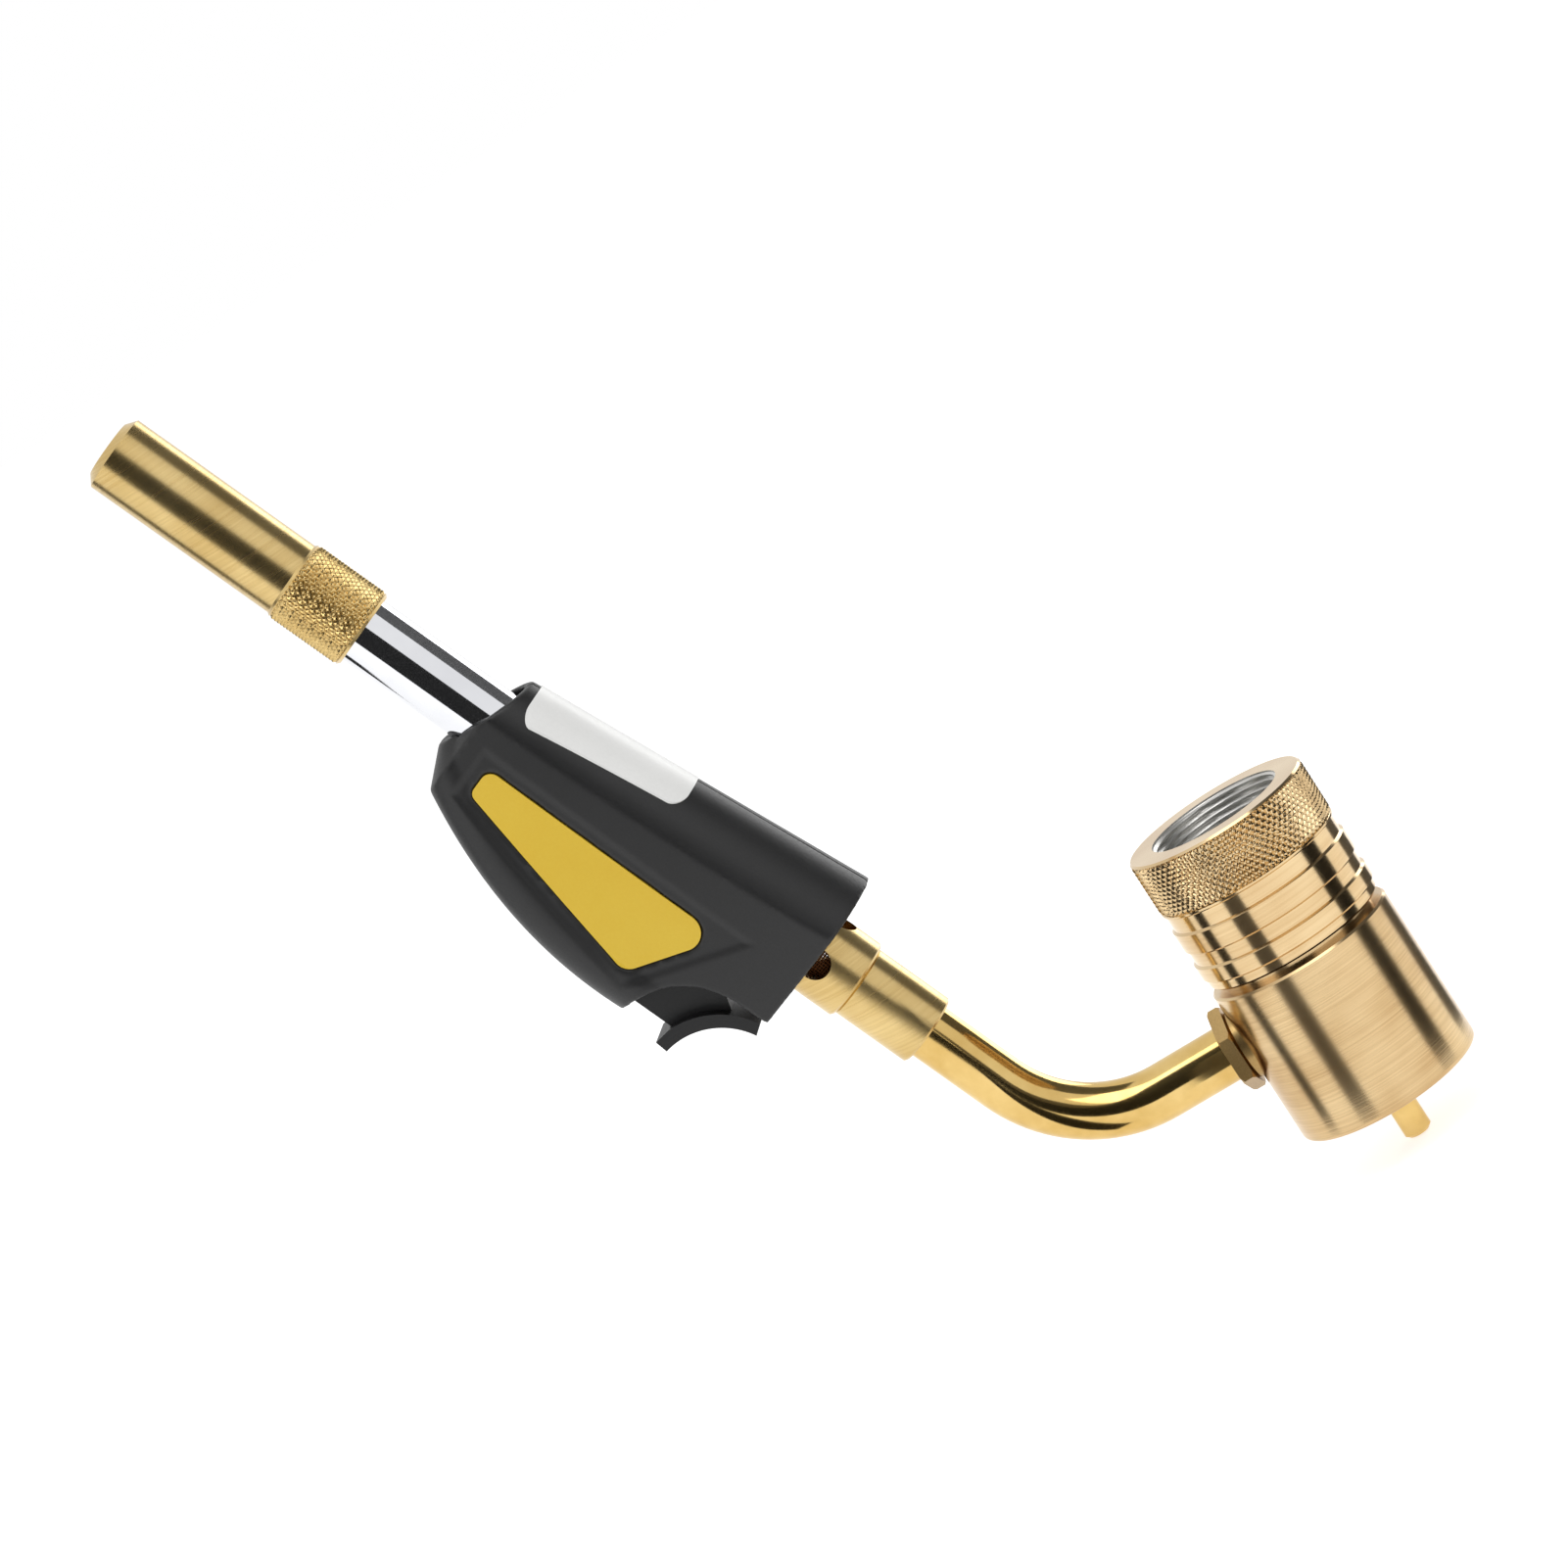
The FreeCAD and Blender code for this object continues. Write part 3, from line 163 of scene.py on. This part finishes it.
for part in frame["record"]["subparts"]:
    mesh = frame["nodes"][part["node"]].data
    mesh.materials.clear()
    mesh.materials.append(FINISHES[part["material_slot"]])
frame["nodes"]["regulator_body"].data.materials[0] = BRUSHED
frame["nodes"]["inlet_nipple"].data.materials[0] = NICKEL


def keep(name, mesh, body, slot, *nodes):
    """A finished piece: its object, the body it rides on and the CAD nodes it stands for; its finish is not
    used.
    """
    piece = bpy.data.objects.new(name, mesh)
    bpy.context.scene.collection.objects.link(piece)
    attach(piece, body)
    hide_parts(*nodes)
    return piece


def group(name, inputs):
    """An empty Geometry Nodes tree with named float inputs, and its input and output nodes."""
    tree = bpy.data.node_groups.new(name, "GeometryNodeTree")
    for title, value in inputs.items():
        socket = tree.interface.new_socket(title, in_out="INPUT", socket_type="NodeSocketFloat")
        socket.default_value = value
    tree.interface.new_socket("Geometry", in_out="OUTPUT", socket_type="NodeSocketGeometry")
    return tree, add(tree, "NodeGroupInput", {}), add(tree, "NodeGroupOutput", {})


def evaluated(tree, values):
    """The plain mesh that a tree makes from named values."""
    holder = bpy.data.objects.new("maker", bpy.data.meshes.new("maker"))
    bpy.context.scene.collection.objects.link(holder)
    modifier = holder.modifiers.new("maker", "NODES")
    modifier.node_group = tree
    for item in tree.interface.items_tree:
        if item.in_out == "INPUT" and item.name in values:
            modifier[item.identifier] = float(values[item.name])
    graph = bpy.context.evaluated_depsgraph_get()
    mesh = bpy.data.meshes.new_from_object(holder.evaluated_get(graph))
    bpy.data.objects.remove(holder)
    return mesh


# Ridges fade out over the thirtieth of a rolled length at each end, and their crests are cut flat.
END_FADE = 30.0
CREST = 1.35


def rolled_surface(material):
    """A tube surface rolled with one helix, or with two crossed ones for a diamond knurl."""
    tree, given, result = group("Rolled surface", {
        "Radius": 10 * MM, "Low": 0.0, "Length": 10 * MM, "Starts": 40.0, "Twist": 8.0, "Depth": 0.4 * MM,
        "Crossed": 1.0, "Steps Round": 240.0, "Steps Along": 60.0})
    take = given.outputs
    grid = add(tree, "GeometryNodeMeshGrid", {"Size X": 1.0, "Size Y": 1.0},
               [("Vertices X", take["Steps Round"]), ("Vertices Y", take["Steps Along"])])
    position = add(tree, "GeometryNodeInputPosition", {})
    where = add(tree, "ShaderNodeSeparateXYZ", {}, [(0, position.outputs[0])])
    known = {socket.name: socket for socket in take}
    known.update({"across": where.outputs[0], "up": where.outputs[1]})
    # Each step's name and operation, and what it takes: a number, an input or an earlier step.
    for title, operation, *inputs in (
            ("turn", "ADD", "across", 0.5),
            ("climb", "ADD", "up", 0.5),
            ("count", "MULTIPLY", "turn", "Starts"),
            ("slant", "MULTIPLY", "climb", "Twist"),
            ("one way", "ADD", "count", "slant"),
            ("one wave", "PINGPONG", "one way", 0.5),
            ("ridge", "MULTIPLY", "one wave", 2.0),
            ("other way", "SUBTRACT", "count", "slant"),
            ("other wave", "PINGPONG", "other way", 0.5),
            ("other ridge", "MULTIPLY", "other wave", 2.0),
            ("single", "SUBTRACT", 1.0, "Crossed"),
            ("limit", "MAXIMUM", "other ridge", "single"),
            ("height", "MINIMUM", "ridge", "limit"),
            ("to top", "SUBTRACT", 1.0, "climb"),
            ("to end", "MINIMUM", "climb", "to top"),
            ("steep fade", "MULTIPLY", "to end", END_FADE),
            ("fade", "MINIMUM", "steep fade", 1.0),
            ("faded", "MULTIPLY", "height", "fade"),
            ("sharp", "MULTIPLY", "faded", CREST),
            ("flat topped", "MINIMUM", "sharp", 1.0),
            ("rise", "MULTIPLY", "flat topped", "Depth"),
            ("radius", "ADD", "Radius", "rise"),
            ("angle", "MULTIPLY", "turn", 2 * math.pi),
            ("cosine", "COSINE", "angle"),
            ("sine", "SINE", "angle"),
            ("x", "MULTIPLY", "radius", "cosine"),
            ("y", "MULTIPLY", "radius", "sine"),
            ("part length", "MULTIPLY", "climb", "Length"),
            ("z", "ADD", "Low", "part length")):
        numbers = {i: v for i, v in enumerate(inputs) if not isinstance(v, str)}
        sockets = [(i, known[v]) for i, v in enumerate(inputs) if isinstance(v, str)]
        step = add(tree, "ShaderNodeMath", {"operation": operation, **numbers}, sockets)
        known[title] = step.outputs[0]
    spot = add(tree, "ShaderNodeCombineXYZ", {}, [(0, known["x"]), (1, known["y"]), (2, known["z"])])
    bent = add(tree, "GeometryNodeSetPosition", {},
               [("Geometry", grid.outputs[0]), ("Position", spot.outputs[0])])
    joined = add(tree, "GeometryNodeMergeByDistance", {"Distance": 0.005 * MM}, [(0, bent.outputs[0])])
    real = add(tree, "GeometryNodeRealizeInstances", {}, [(0, joined.outputs[0])])
    coated = add(tree, "GeometryNodeSetMaterial", {"Material": material}, [("Geometry", real.outputs[0])])
    tree.links.new(coated.outputs[0], result.inputs[0])
    return tree


def lathe(outline, steps=144):
    """A closed turned form from (radius, height) corners in millimetres."""
    form = bmesh.new()
    rings = []
    for i in range(steps):
        turn = 2 * math.pi * i / steps
        rings.append([form.verts.new((r * MM * math.cos(turn), r * MM * math.sin(turn), z * MM))
                      for r, z in outline])
    for i, ring in enumerate(rings):
        following = rings[(i + 1) % steps]
        for j in range(len(outline)):
            k = (j + 1) % len(outline)
            form.faces.new((ring[j], following[j], following[k], ring[k]))
    bmesh.ops.recalc_face_normals(form, faces=form.faces)
    return form


# The mouth's thread ends in a wider relief, which has a floor.
MOUTH_R, RELIEF_R, RELIEF_FLOOR = 12.75, 13.1, -17.5
SLACK = 0.1
# Smoothed shading breaks where faces meet at more than this.
SHARP_ANGLE = math.radians(28)


def with_rolled(form, sheets, place, *materials):
    """The turned form with its rolled surfaces, each (mesh, faces inward), set in place.

    The second material, if any, goes on what faces inward, and on the mouth inside the thread's relief.
    """
    for face in form.faces:
        narrow = all(v.co.xy.length < (RELIEF_R + SLACK) * MM for v in face.verts)
        inside = narrow and face.calc_center_median().z > (RELIEF_FLOOR - SLACK) * MM
        face.material_index = int(inside and len(materials) > 1)
    for mesh, inward in sheets:
        sheet = bmesh.new()
        sheet.from_mesh(mesh)
        outwards = sum(f.normal.dot(Vector((*f.calc_center_median().xy, 0))) for f in sheet.faces) > 0
        if outwards == inward:
            bmesh.ops.reverse_faces(sheet, faces=sheet.faces)
        for face in sheet.faces:
            face.material_index = int(inward)
        spare = bpy.data.meshes.new("sheet")
        sheet.to_mesh(spare)
        form.from_mesh(spare)
        sheet.free()
    form.transform(place)
    mesh = bpy.data.meshes.new("turned")
    form.to_mesh(mesh)
    form.free()
    for material in materials:
        mesh.materials.append(material)
    mesh.shade_smooth()
    mesh.set_sharp_from_angle(angle=SHARP_ANGLE)
    return mesh


rolling = rolled_surface(FINISHES["rose_brass"])

# Coupling: diamond-knurled ring, ridged barrel, 20-per-inch thread inside the mouth. Radii, and heights
# from the mouth, in millimetres.
RING_R, LIP_R, GROOVE_R, RIDGE_R, END_R = 17.2, 17.6, 17.15, 17.65, 16.75
SWIVEL_R, WEB_R, WEB_BOTTOM, COUPLING_END, THREAD_END = 15.05, 7.5, -21, -26.6, -10
RIDGES = ((-14.6, -18.4), (-21.7, -24.4))
BEVEL = 0.4
THREAD_PITCH, THREAD_LENGTH = 1.27, 9.7
RING_TEETH, GRIP_TEETH = 78, 38
TOOTH_STEPS = 8
# A rolled sheet's ends lie this far inside the metal, so that its edges don't show.
KNURL_SUNK, THREAD_SUNK = 0.03, 0.02
coupling_outline = [
    (MOUTH_R, 0), (RING_R, 0), (LIP_R, -0.4), (RING_R, -0.7), (RING_R, -10.4), (LIP_R, -10.65), (LIP_R, -11),
    (GROOVE_R, -11.3)]
for ridge_top, ridge_foot in RIDGES:
    coupling_outline += [(GROOVE_R, ridge_top + BEVEL), (RIDGE_R, ridge_top), (RIDGE_R, ridge_foot),
                         (GROOVE_R, ridge_foot - BEVEL)]
coupling_outline += [
    (GROOVE_R, COUPLING_END + BEVEL), (END_R, COUPLING_END), (SWIVEL_R, COUPLING_END), (SWIVEL_R, WEB_BOTTOM),
    (WEB_R, WEB_BOTTOM), (WEB_R, RELIEF_FLOOR), (RELIEF_R, RELIEF_FLOOR), (RELIEF_R, THREAD_END),
    (MOUTH_R, THREAD_END)]
ring_knurl = evaluated(rolling, {
    "Radius": (RING_R - KNURL_SUNK) * MM, "Low": -10.6 * MM, "Length": 10.1 * MM, "Starts": RING_TEETH,
    "Twist": 6, "Depth": 0.5 * MM, "Crossed": 1, "Steps Round": RING_TEETH * TOOTH_STEPS + 1,
    "Steps Along": 60})
mouth_thread = evaluated(rolling, {
    "Radius": (MOUTH_R + THREAD_SUNK) * MM, "Low": THREAD_END * MM, "Length": THREAD_LENGTH * MM, "Starts": 1,
    "Twist": THREAD_LENGTH / THREAD_PITCH, "Depth": -0.5 * MM, "Crossed": 0, "Steps Round": 145,
    "Steps Along": 78})
coupling_mesh = with_rolled(lathe(coupling_outline), [(ring_knurl, False), (mouth_thread, True)], Matrix(),
                            FINISHES["rose_brass"], NICKEL)
keep("coupling_finished", coupling_mesh, "coupling", "rose_brass", "inlet_coupling")

# Nozzle: plain barrel with a finer knurl on its grip. Radii, and distances along the burner, in millimetres.
GRIP_R, GRIP_LIP_R, BARREL_R, SOCKET_R, BORE_R, MUZZLE_R = 7.35, 7.6, 7.2, 6.4, 5.85, 4.75
GRIP_START, GRIP_END, SOCKET_END, BORE_END, MUZZLE = 98.5, 114.1, 118, 151, 153.5
tip_outline = [
    (SOCKET_R, GRIP_START), (7.05, GRIP_START), (GRIP_LIP_R, 99.0), (GRIP_R, 99.3), (GRIP_R, 113.3),
    (GRIP_LIP_R, 113.6), (BARREL_R, GRIP_END), (BARREL_R, 152.05), (5.35, MUZZLE), (MUZZLE_R, MUZZLE),
    (MUZZLE_R, BORE_END), (BORE_R, BORE_END), (BORE_R, SOCKET_END), (SOCKET_R, SOCKET_END)]
grip_knurl = evaluated(rolling, {
    "Radius": (GRIP_R - KNURL_SUNK) * MM, "Low": 99.1 * MM, "Length": 14.4 * MM, "Starts": GRIP_TEETH,
    "Twist": 11, "Depth": 0.42 * MM, "Crossed": 1, "Steps Round": GRIP_TEETH * TOOTH_STEPS + 1,
    "Steps Along": 96})
nozzle_mesh = with_rolled(lathe(tip_outline), [(grip_knurl, False)], BURNER, FINISHES["satin_brass"])
keep("nozzle_finished", nozzle_mesh, "torch", "satin_brass", "burner_tip")


def gauze(material):
    """Wires round a tube crossed by wires along it."""
    tree, given, result = group("Wire gauze", {
        "Radius": 5.8 * MM, "Low": -4.2 * MM, "Length": 9 * MM, "Wire": 0.12 * MM, "Hoops": 18.0,
        "Straights": 64.0})
    take = given.outputs
    step = add(tree, "ShaderNodeMath", {"operation": "DIVIDE"}, [(0, take["Length"]), (1, take["Hoops"])])
    start = add(tree, "ShaderNodeCombineXYZ", {}, [(2, take["Low"])])
    climb = add(tree, "ShaderNodeCombineXYZ", {}, [(2, step.outputs[0])])
    stack = add(tree, "GeometryNodeMeshLine", {},
                [("Count", take["Hoops"]), ("Start Location", start.outputs[0]),
                 ("Offset", climb.outputs[0])])
    hoop = add(tree, "GeometryNodeCurvePrimitiveCircle", {"Resolution": 48}, [("Radius", take["Radius"])])
    hoops = add(tree, "GeometryNodeInstanceOnPoints", {},
                [("Points", stack.outputs[0]), ("Instance", hoop.outputs[0])])
    end = add(tree, "ShaderNodeCombineXYZ", {}, [(2, take["Length"])])
    straight = add(tree, "GeometryNodeCurvePrimitiveLine", {}, [("End", end.outputs[0])])
    feet = add(tree, "GeometryNodeMeshCircle", {},
               [("Vertices", take["Straights"]), ("Radius", take["Radius"])])
    lowered = add(tree, "GeometryNodeTransform", {},
                  [("Geometry", feet.outputs[0]), ("Translation", start.outputs[0])])
    straights = add(tree, "GeometryNodeInstanceOnPoints", {},
                    [("Points", lowered.outputs[0]), ("Instance", straight.outputs[0])])
    lines = add(tree, "GeometryNodeJoinGeometry", {}, [(0, hoops.outputs[0]), (0, straights.outputs[0])])
    real = add(tree, "GeometryNodeRealizeInstances", {}, [(0, lines.outputs[0])])
    section = add(tree, "GeometryNodeCurvePrimitiveCircle", {"Resolution": 5}, [("Radius", take["Wire"])])
    wires = add(tree, "GeometryNodeCurveToMesh", {"Fill Caps": True},
                [(0, real.outputs[0]), (1, section.outputs[0])])
    coated = add(tree, "GeometryNodeSetMaterial", {"Material": material}, [("Geometry", wires.outputs[0])])
    tree.links.new(coated.outputs[0], result.inputs[0])
    return tree


screen = evaluated(gauze(FINISHES["bronze"]), {})
screen.transform(BURNER)
keep("woven_gauze", screen, "torch", "bronze", "gauze_screen")


# Housing: softened moulded edges and a shallow dished border round each inlay. The inlay's corners are
# (x, z) on the burner's own axes, in millimetres.
INLAY = [(-5.4, 66.5), (-5.4, 15.6), (-21.6, 25.9), (-11.3, 66.5)]
VOXEL = 0.45
RELAX_SHARE, RELAX_TURNS = 0.5, 3
BORDER_WIDTH, BORDER_SLOPE, BORDER_DEPTH = 3.2, 1.6, 0.35
# Only what faces the side at least this squarely is dished.
FACES_SIDE = 0.3


def beyond_inlay(x, z):
    """Distance in millimetres from a point on the side to the inlay's outline, negative inside it."""
    far = -math.inf
    for i, (ax, az) in enumerate(INLAY):
        bx, bz = INLAY[(i + 1) % len(INLAY)]
        length = math.hypot(bx - ax, bz - az)
        far = max(far, ((x - ax) * (bz - az) - (z - az) * (bx - ax)) / -length)
    return far


def moulded(node, side):
    """The half's shell remeshed and relaxed, so every edge gets a small radius; side is -1 near, 1 far."""
    merged = bmesh.new()
    merged.from_mesh(frame["nodes"][node].data)
    bmesh.ops.remove_doubles(merged, verts=merged.verts, dist=0.001 * MM)
    raw = bpy.data.meshes.new(node)
    merged.to_mesh(raw)
    merged.free()
    holder = bpy.data.objects.new("maker", raw)
    bpy.context.scene.collection.objects.link(holder)
    remesh = holder.modifiers.new("remesh", "REMESH")
    remesh.mode, remesh.voxel_size = "VOXEL", VOXEL * MM
    relax = holder.modifiers.new("relax", "SMOOTH")
    relax.factor, relax.iterations = RELAX_SHARE, RELAX_TURNS
    mesh = bpy.data.meshes.new_from_object(holder.evaluated_get(bpy.context.evaluated_depsgraph_get()))
    bpy.data.objects.remove(holder)
    mesh.transform(BURNER.inverted())
    normals = [v.normal.y * side for v in mesh.vertices]
    for vertex, facing in zip(mesh.vertices, normals):
        beyond = beyond_inlay(vertex.co.x / MM, vertex.co.z / MM)
        if facing > FACES_SIDE and beyond < BORDER_WIDTH:
            border = min(max((BORDER_WIDTH - beyond) / BORDER_SLOPE, 0), 1)
            vertex.co.y -= side * BORDER_DEPTH * MM * border * border * (3 - 2 * border)
    mesh.transform(BURNER)
    mesh.materials.clear()
    mesh.materials.append(FINISHES["black_plastic"])
    mesh.shade_smooth()
    return mesh


keep("near_shell", moulded("housing_near", -1), "torch", "black_plastic", "housing_near")
keep("far_shell", moulded("housing_far", 1), "torch", "black_plastic", "housing_far")


# Studio: white surround and floor, soft lamps, and dark and grey cards that only polished metal mirrors.
FLOOR_HALF, FLOOR_GLOW, FLOOR_GAP = 9, 0.66, 0.5 * MM
LAMP_AWAY = 0.9
# Long cards stand beside the burner and upright ones round the regulator.
CARD_AWAY, CARD_HALF_LENGTH = 0.5, 0.9
UPRIGHT_AWAY, UPRIGHT_HEIGHT = 0.06, 0.07


def studio_surface(tree, base, level, kind):
    """Which rays are shown white, the plain surface for all others, and the white one.

    Camera, mirror and glass rays are shown white.
    """
    ray = add(tree, "ShaderNodeLightPath", {})
    seen = add(tree, "ShaderNodeMath", {"operation": "MAXIMUM"},
               [(0, ray.outputs["Is Camera Ray"]), (1, ray.outputs["Is Glossy Ray"])])
    shown = add(tree, "ShaderNodeMath", {"operation": "MAXIMUM"},
                [(0, seen.outputs[0]), (1, ray.outputs["Is Transmission Ray"])])
    plain = add(tree, kind, {"Color": linear(base)})
    white = add(tree, "ShaderNodeEmission" if kind != "ShaderNodeBackground" else kind,
                {"Color": (1, 1, 1, 1), "Strength": level})
    return shown, plain, white


world = bpy.data.worlds.new("white surround")
world.use_nodes = True
world.node_tree.nodes.clear()
shown, plain, white = studio_surface(world.node_tree, "BCBCBC", 1.0, "ShaderNodeBackground")
choice = add(world.node_tree, "ShaderNodeMixShader", {},
             [(0, shown.outputs[0]), (1, plain.outputs[0]), (2, white.outputs[0])])
add(world.node_tree, "ShaderNodeOutputWorld", {}, [(0, choice.outputs[0])])
bpy.context.scene.world = world


def stage_sheet(name, corners, material):
    """A flat stage object from its corners."""
    mesh = bpy.data.meshes.new(name)
    mesh.from_pydata(corners, [], [tuple(range(len(corners)))])
    mesh.materials.append(material)
    sheet = bpy.data.objects.new(name, mesh)
    bpy.context.scene.collection.objects.link(sheet)
    return sheet


floor_paint = bpy.data.materials.new("pale floor paint")
floor_paint.use_nodes = True
floor_paint.node_tree.nodes.clear()
shown, plain, white = studio_surface(floor_paint.node_tree, "E6E6E6", FLOOR_GLOW,
                                     "ShaderNodeBsdfDiffuse")
lit = add(floor_paint.node_tree, "ShaderNodeAddShader", {}, [(0, plain.outputs[0]), (1, white.outputs[0])])
choice = add(floor_paint.node_tree, "ShaderNodeMixShader", {},
             [(0, shown.outputs[0]), (1, plain.outputs[0]), (2, lit.outputs[0])])
add(floor_paint.node_tree, "ShaderNodeOutputMaterial", {}, [(0, choice.outputs[0])])
ground = cad_box[0][2] - FLOOR_GAP
stage_sheet("floor", [(x * FLOOR_HALF, y * FLOOR_HALF, ground)
                      for x, y in ((-1, -1), (1, -1), (1, 1), (-1, 1))], floor_paint)

# The camera's own axes, and where it stands.
RIGHT = Vector((0.83494, 0.08599, -0.54358))
UP = Vector((0.51287, 0.23663, 0.82521))
BACK = Vector((0.19959, -0.96779, 0.15347))
SPOT = Vector((127.2, -915.7, 189.3)) * MM
middle = (Vector(cad_box[0]) + Vector(cad_box[1])) / 2

# The burner's axis, and the directions across it that face the camera and lie over it.
AXIS = Vector((-math.sin(LEAN), 0, math.cos(LEAN)))
FRONT = (BACK - AXIS * BACK.dot(AXIS)).normalized()
OVER = AXIS.cross(FRONT).normalized() * -1

# Matt card: black ones give polished metal its dark bands, grey ones its softer bands.
card_black = finish("black card", "161616", "1A1A1A", 0.9, 2.0, metallic=0.0)
card_grey = finish("grey card", "6A6A6A", "707070", 0.9, 2.0, metallic=0.0)


def polished_only(sheet):
    """Hides a card from the camera and from plain light, so that only polished metal shows it."""
    sheet.visible_camera = sheet.visible_shadow = sheet.visible_diffuse = False


def card(name, turn, spread, material):
    """A long card beside the burner, turned round its axis from the front; turn and spread in degrees."""
    towards = FRONT * math.cos(math.radians(turn)) + OVER * math.sin(math.radians(turn))
    across = towards.cross(AXIS)
    half = CARD_AWAY * math.tan(math.radians(spread / 2))
    corners = [middle + towards * CARD_AWAY + across * half * a + AXIS * CARD_HALF_LENGTH * b
               for a, b in ((1, 1), (-1, 1), (-1, -1), (1, -1))]
    polished_only(stage_sheet(name, corners, material))


card("front card", 18, 58, card_black)
card("top card", 118, 18, card_black)
card("under card", -95, 50, card_grey)


def upright_card(name, azimuth, width, material):
    """A card standing beside the regulator, its azimuth in degrees round the tank's axis."""
    towards = Vector((math.sin(math.radians(azimuth)), -math.cos(math.radians(azimuth)), 0))
    across = towards.cross(Vector((0, 0, 1)))
    foot = towards * UPRIGHT_AWAY + Vector((0, 0, ground + MM))
    sides = ((-0.5, 0.0), (0.5, 0.0), (0.5, UPRIGHT_HEIGHT), (-0.5, UPRIGHT_HEIGHT))
    corners = [foot + across * width * share + Vector((0, 0, rise)) for share, rise in sides]
    polished_only(stage_sheet(name, corners, material))


upright_card("right card", 74, 0.024, card_black)
upright_card("far right card", 130, 0.03, card_grey)
upright_card("front left card", -26, 0.02, card_grey)
upright_card("left card", -70, 0.014, card_black)


def lamp(name, towards, size, power):
    """A square lamp that shines on the middle of the torch."""
    light = bpy.data.lights.new(name, "AREA")
    light.size, light.energy = size, power
    holder = bpy.data.objects.new(name, light)
    towards = towards.normalized()
    holder.location = middle + towards * LAMP_AWAY
    holder.rotation_mode = "QUATERNION"
    holder.rotation_quaternion = towards.to_track_quat("Z", "Y")
    bpy.context.scene.collection.objects.link(holder)


lamp("key lamp", UP + BACK * 0.9 - RIGHT * 0.5, 0.7, 3.0)
lamp("fill lamp", BACK - RIGHT * 1.2 - UP * 0.2, 0.8, 1.4)
lamp("rim lamp", UP * 0.8 - BACK * 0.8 + RIGHT * 0.6, 0.6, 2.4)

camera = bpy.data.objects.new("camera", bpy.data.cameras.new("camera"))
camera.data.sensor_width = 36.0
camera.data.lens = 122.9
camera.data.clip_start, camera.data.clip_end = 0.05, 30.0
camera.matrix_world = Matrix.Translation(SPOT) @ Matrix((RIGHT, UP, BACK)).transposed().to_4x4()
bpy.context.scene.collection.objects.link(camera)
bpy.context.scene.camera = camera
bpy.context.scene.view_settings.view_transform = "Standard"
